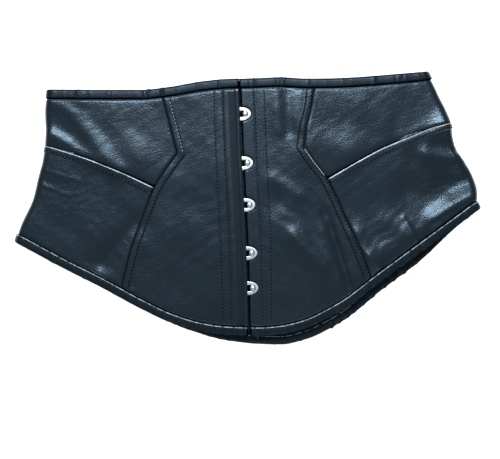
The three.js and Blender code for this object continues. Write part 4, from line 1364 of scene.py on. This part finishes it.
def seam_row(half, distance, v):
    """Share along the front stretch that lies at a distance from the long seam."""
    def miss(s):
        return distance - seam_distance(half, half.place("front", s, v))
    return solve(miss, np.zeros(v.shape), np.ones(v.shape))


for half in halves:
    tall = np.linspace(0.008, 0.992, 400)
    rows = LEFT_BUSK_ROWS if half.sign < 0 else RIGHT_BUSK_ROWS
    length = half.row_length("front", tall)
    busk_runs = [("front", row / length, tall) for row in rows]
    sew(f"busk_stitching_{half.name}", half, busk_runs)
    low, high = tall[tall < CORNER], tall[tall >= CORNER]
    for part, v in (("lower", low), ("upper", high)):
        seam_runs = [("front", seam_row(half, row, v), v) for row in FELL_ROWS[half.sign]]
        # The left upper seam's stitches get the pale thread of painted highlight
        pale = half.sign < 0 and part == "upper"
        sew(f"{part}_seam_stitching_{half.name}", half, seam_runs,
            *((0.5, highlight_thread) if pale else ()))
    level = JUNCTION * (1 - STRIP_ROW / half.lower_run)
    strip_runs = [
        ("side", np.linspace(0.02, 1, 300), np.full(300, level)),
        ("turn", np.linspace(0, 0.8, 80), np.full(80, level)),
    ]
    sew(f"cross_stitching_{half.name}", half, strip_runs)

# %% [markdown]
# ## The busk
# Each loop is a flat D of plated steel with a keyhole. Its section is a rounded
# bar carried round the ring between the keyhole and the outline, so it closes on
# itself and needs no caps. The stud is a turned dome on a post with a flange under
# the leather.

# %% Loops and studs
LOOP_POINTS, BAR_POINTS = 120, 20
STUD_SIDES = 40
STUD_EDGE = 0.15
POLE = 0.05


def capped_tube(rows, sides):
    """Quads of a tube of rings, with strips of quads across its two ends."""
    half = sides // 2
    cap = np.array([(k, k + 1, sides - 2 - k, sides - 1 - k) for k in range(half - 1)])
    tube = grid_faces(rows, sides, wrap=True)
    return np.concatenate([tube, cap[:, ::-1], cap + (rows - 1) * sides])


def even_outline(path, count):
    """A closed outline of complex points, taken again at equal steps along it."""
    closed = np.append(path, path[0])
    run = np.concatenate([[0], np.cumsum(abs(np.diff(closed)))])
    at = np.arange(count) / count * run[-1]
    return np.interp(at, run, closed.real) + 1j * np.interp(at, run, closed.imag)


def plate_outline(count):
    """The D from the middle of its left edge: straight, then half an ellipse."""
    half = LOOP_WIDTH / 2
    angle = np.linspace(-np.pi / 2, np.pi / 2, 60)
    bow = LOOP_STRAIGHT + (LOOP_REACH - LOOP_STRAIGHT) * np.cos(angle) + 1j * half * np.sin(angle)
    path = np.concatenate([[-LOOP_TONGUE + 0j, -LOOP_TONGUE - 1j * half], bow,
                           [-LOOP_TONGUE + 1j * half]])
    return even_outline(path, count)


def eye_outline(count):
    """The keyhole from the middle of its left end: a long eye that narrows to a slot."""
    mouth = math.asin(SLOT_RADIUS / EYE_RADIUS)
    low = np.linspace(-np.pi / 2, -mouth, 40)
    end = np.linspace(-np.pi / 2, np.pi / 2, 24)
    start = [EYE_START + 0j, EYE_START - 1j * EYE_RADIUS]
    lower = np.concatenate([start, EYE_PLACE + EYE_RADIUS * np.exp(1j * low)])
    slot = STUD_PLACE + SLOT_RADIUS * np.exp(1j * end)
    path = np.concatenate([lower, slot, np.conj(lower[:0:-1])])
    return even_outline(path, count)


def metal_loop(number, seat):
    """The ring between keyhole and outline, with edges rounded as a superellipse."""
    place, turn, height = seat[:3]
    outer, eye = plate_outline(LOOP_POINTS), eye_outline(LOOP_POINTS)
    angle = np.arange(BAR_POINTS) * 2 * np.pi / BAR_POINTS
    share = 0.5 + 0.5 * np.sign(np.cos(angle)) * abs(np.cos(angle)) ** 0.25
    level = np.sign(np.sin(angle)) * abs(np.sin(angle)) ** 0.3 * LOOP_THICK / 2
    flat = eye[:, None] + (outer - eye)[:, None] * share[None, :]
    flat = place + flat * np.exp(1j * turn)
    points = stack(flat, height + level[None, :])
    faces = grid_faces(LOOP_POINTS + 1, BAR_POINTS, wrap=True) % (LOOP_POINTS * BAR_POINTS)
    name = f"busk_loop_{number}"
    return make_piece(name, points, faces, busk_steel, replaces=(name,), sharp=60)


def metal_stud(number, seat):
    """A profile turned about the post: flange, post, rim and a low dome."""
    stud, height = seat[3], seat[4]
    flange = height - WALL / 2 - METAL_FIT
    head = seat[2] + LOOP_THICK / 2 + METAL_FIT
    angle = np.linspace(0, np.pi / 2, 14)[:-1]
    crown = head + STUD_RIM
    dome = np.stack([STUD_RADIUS * np.cos(angle), crown + STUD_DOME * np.sin(angle)], axis=1)
    profile = np.concatenate([
        [(POLE, flange - FLANGE_THICK), (FLANGE_RADIUS, flange - FLANGE_THICK),
         (FLANGE_RADIUS, flange), (POST_RADIUS, flange), (POST_RADIUS, head),
         (STUD_RADIUS - STUD_EDGE, head), (STUD_RADIUS, head + STUD_EDGE)],
        dome, [(POLE, crown + STUD_DOME)]])
    turn = np.exp(1j * np.arange(STUD_SIDES) * 2 * np.pi / STUD_SIDES)
    points = stack(stud + profile[:, :1] * turn[None, :], profile[:, 1:])
    faces = capped_tube(len(profile), STUD_SIDES)
    name = f"busk_stud_{number}"
    return make_piece(name, points, faces, busk_steel, replaces=(name,), sharp=40)


for number, seat in enumerate(seats, 1):
    metal_loop(number, seat)
    metal_stud(number, seat)

# %% [markdown]
# ## The hidden strip
# A plain strip inside the back joins the two halves. Nothing of it shows from the
# front, so it is a soft-edged band of the same leather that keeps its packed size.

# %% Back strip
STRIP_ROWS, STRIP_SIDES = 120, 48


def back_strip():
    """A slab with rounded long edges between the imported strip's corners."""
    low, high = (np.array(corner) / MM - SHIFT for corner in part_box("back_placket"))
    y = np.linspace(low[1], high[1], STRIP_ROWS)
    angle = np.arange(STRIP_SIDES) * 2 * np.pi / STRIP_SIDES
    across = np.sign(np.cos(angle)) * abs(np.cos(angle)) ** 0.12
    level = np.sign(np.sin(angle)) * abs(np.sin(angle)) ** 0.7
    lean = float(abs(centre_back(high[1]) - centre_back(low[1])))
    reach = (high[0] - low[0] - lean) / 2
    thick = (high[2] - low[2]) / 2
    place = centre_back(y)[:, None] + reach * across[None, :] + 1j * y[:, None]
    points = stack(place, low[2] + thick + thick * level[None, :])
    make_piece("back_placket", points, capped_tube(STRIP_ROWS, STRIP_SIDES), panel_leather,
               replaces=("back_placket",))


back_strip()

# %% [markdown]
# ## Floor, light and camera
# The photo is a straight look down on a white ground, lit by a large soft light from
# beyond the top edge, a little to the left. Folds that face it shine and folds that
# face away go black. A weak light from the near side stands for the rest of the room.

# %% Floor and light
# Name, place, point aimed at and size in metres, and power in watts
LIGHTS = [
    ("window", (-0.08, 0.62, 1.45), (0, 0, 0), (0.50, 0.24), 16),
    ("low_window", (-0.30, 1.50, 0.80), (0, 0, 0), (1.2, 0.6), 8),
    ("room", (0.15, -1.10, 1.00), (0, -0.1, 0), (1.4, 0.8), 5),
]
COOL_WHITE = (0.86, 0.94, 1.0)
FLOOR_REACH = 3.0


def ground():
    """A wide pale floor that gives off a little light, as a lit table does."""
    recipe = Recipe("pale_ground")
    mesh = bpy.data.meshes.new("floor")
    signs = ((-1, -1), (1, -1), (1, 1), (-1, 1))
    mesh.from_pydata([(x * FLOOR_REACH, y * FLOOR_REACH, 0) for x, y in signs], [], [(0, 1, 2, 3)])
    mesh.materials.append(recipe.finish(
        Base_Color=(0.92, 0.92, 0.92, 1.0), Roughness=0.9,
        Emission_Color=(0.97, 0.99, 1.0, 1.0), Emission_Strength=0.96))
    floor = bpy.data.objects.new("floor", mesh)
    bpy.context.scene.collection.objects.link(floor)


def soft_light(name, place, aim, size, power):
    """A rectangular softbox at a place, turned to face a point."""
    light = bpy.data.lights.new(name, "AREA")
    light.shape, light.size, light.size_y = "RECTANGLE", size[0], size[1]
    light.energy, light.color = power, COOL_WHITE
    box = bpy.data.objects.new(name, light)
    bpy.context.scene.collection.objects.link(box)
    box.location = place
    box.rotation_euler = (Vector(aim) - Vector(place)).to_track_quat("-Z", "Y").to_euler()


ground()
for row in LIGHTS:
    soft_light(*row)
world = bpy.data.worlds.new("studio")
world.use_nodes = True
sky = world.node_tree.nodes["Background"].inputs
sky["Color"].default_value, sky["Strength"].default_value = (0.9, 0.95, 1.0, 1.0), 0.15
bpy.context.scene.world = world
bpy.context.scene.view_settings.view_transform = "Standard"

# %% Camera
PHOTO_WIDTH = 500
SENSOR = 36
PHOTO_CENTRE = (2.35, -21.3)
CAMERA_HEIGHT = 1.6
camera_data = bpy.data.cameras.new("camera")
camera_data.sensor_width = SENSOR
camera_data.lens = SENSOR * (CAMERA_HEIGHT / MM - FRONT_HEIGHT / 3) / PHOTO_WIDTH
camera = bpy.data.objects.new("camera", camera_data)
camera.location = (PHOTO_CENTRE[0] * MM, PHOTO_CENTRE[1] * MM, CAMERA_HEIGHT)
bpy.context.scene.collection.objects.link(camera)
bpy.context.scene.camera = camera
print("lens, mm:", round(camera_data.lens, 1))
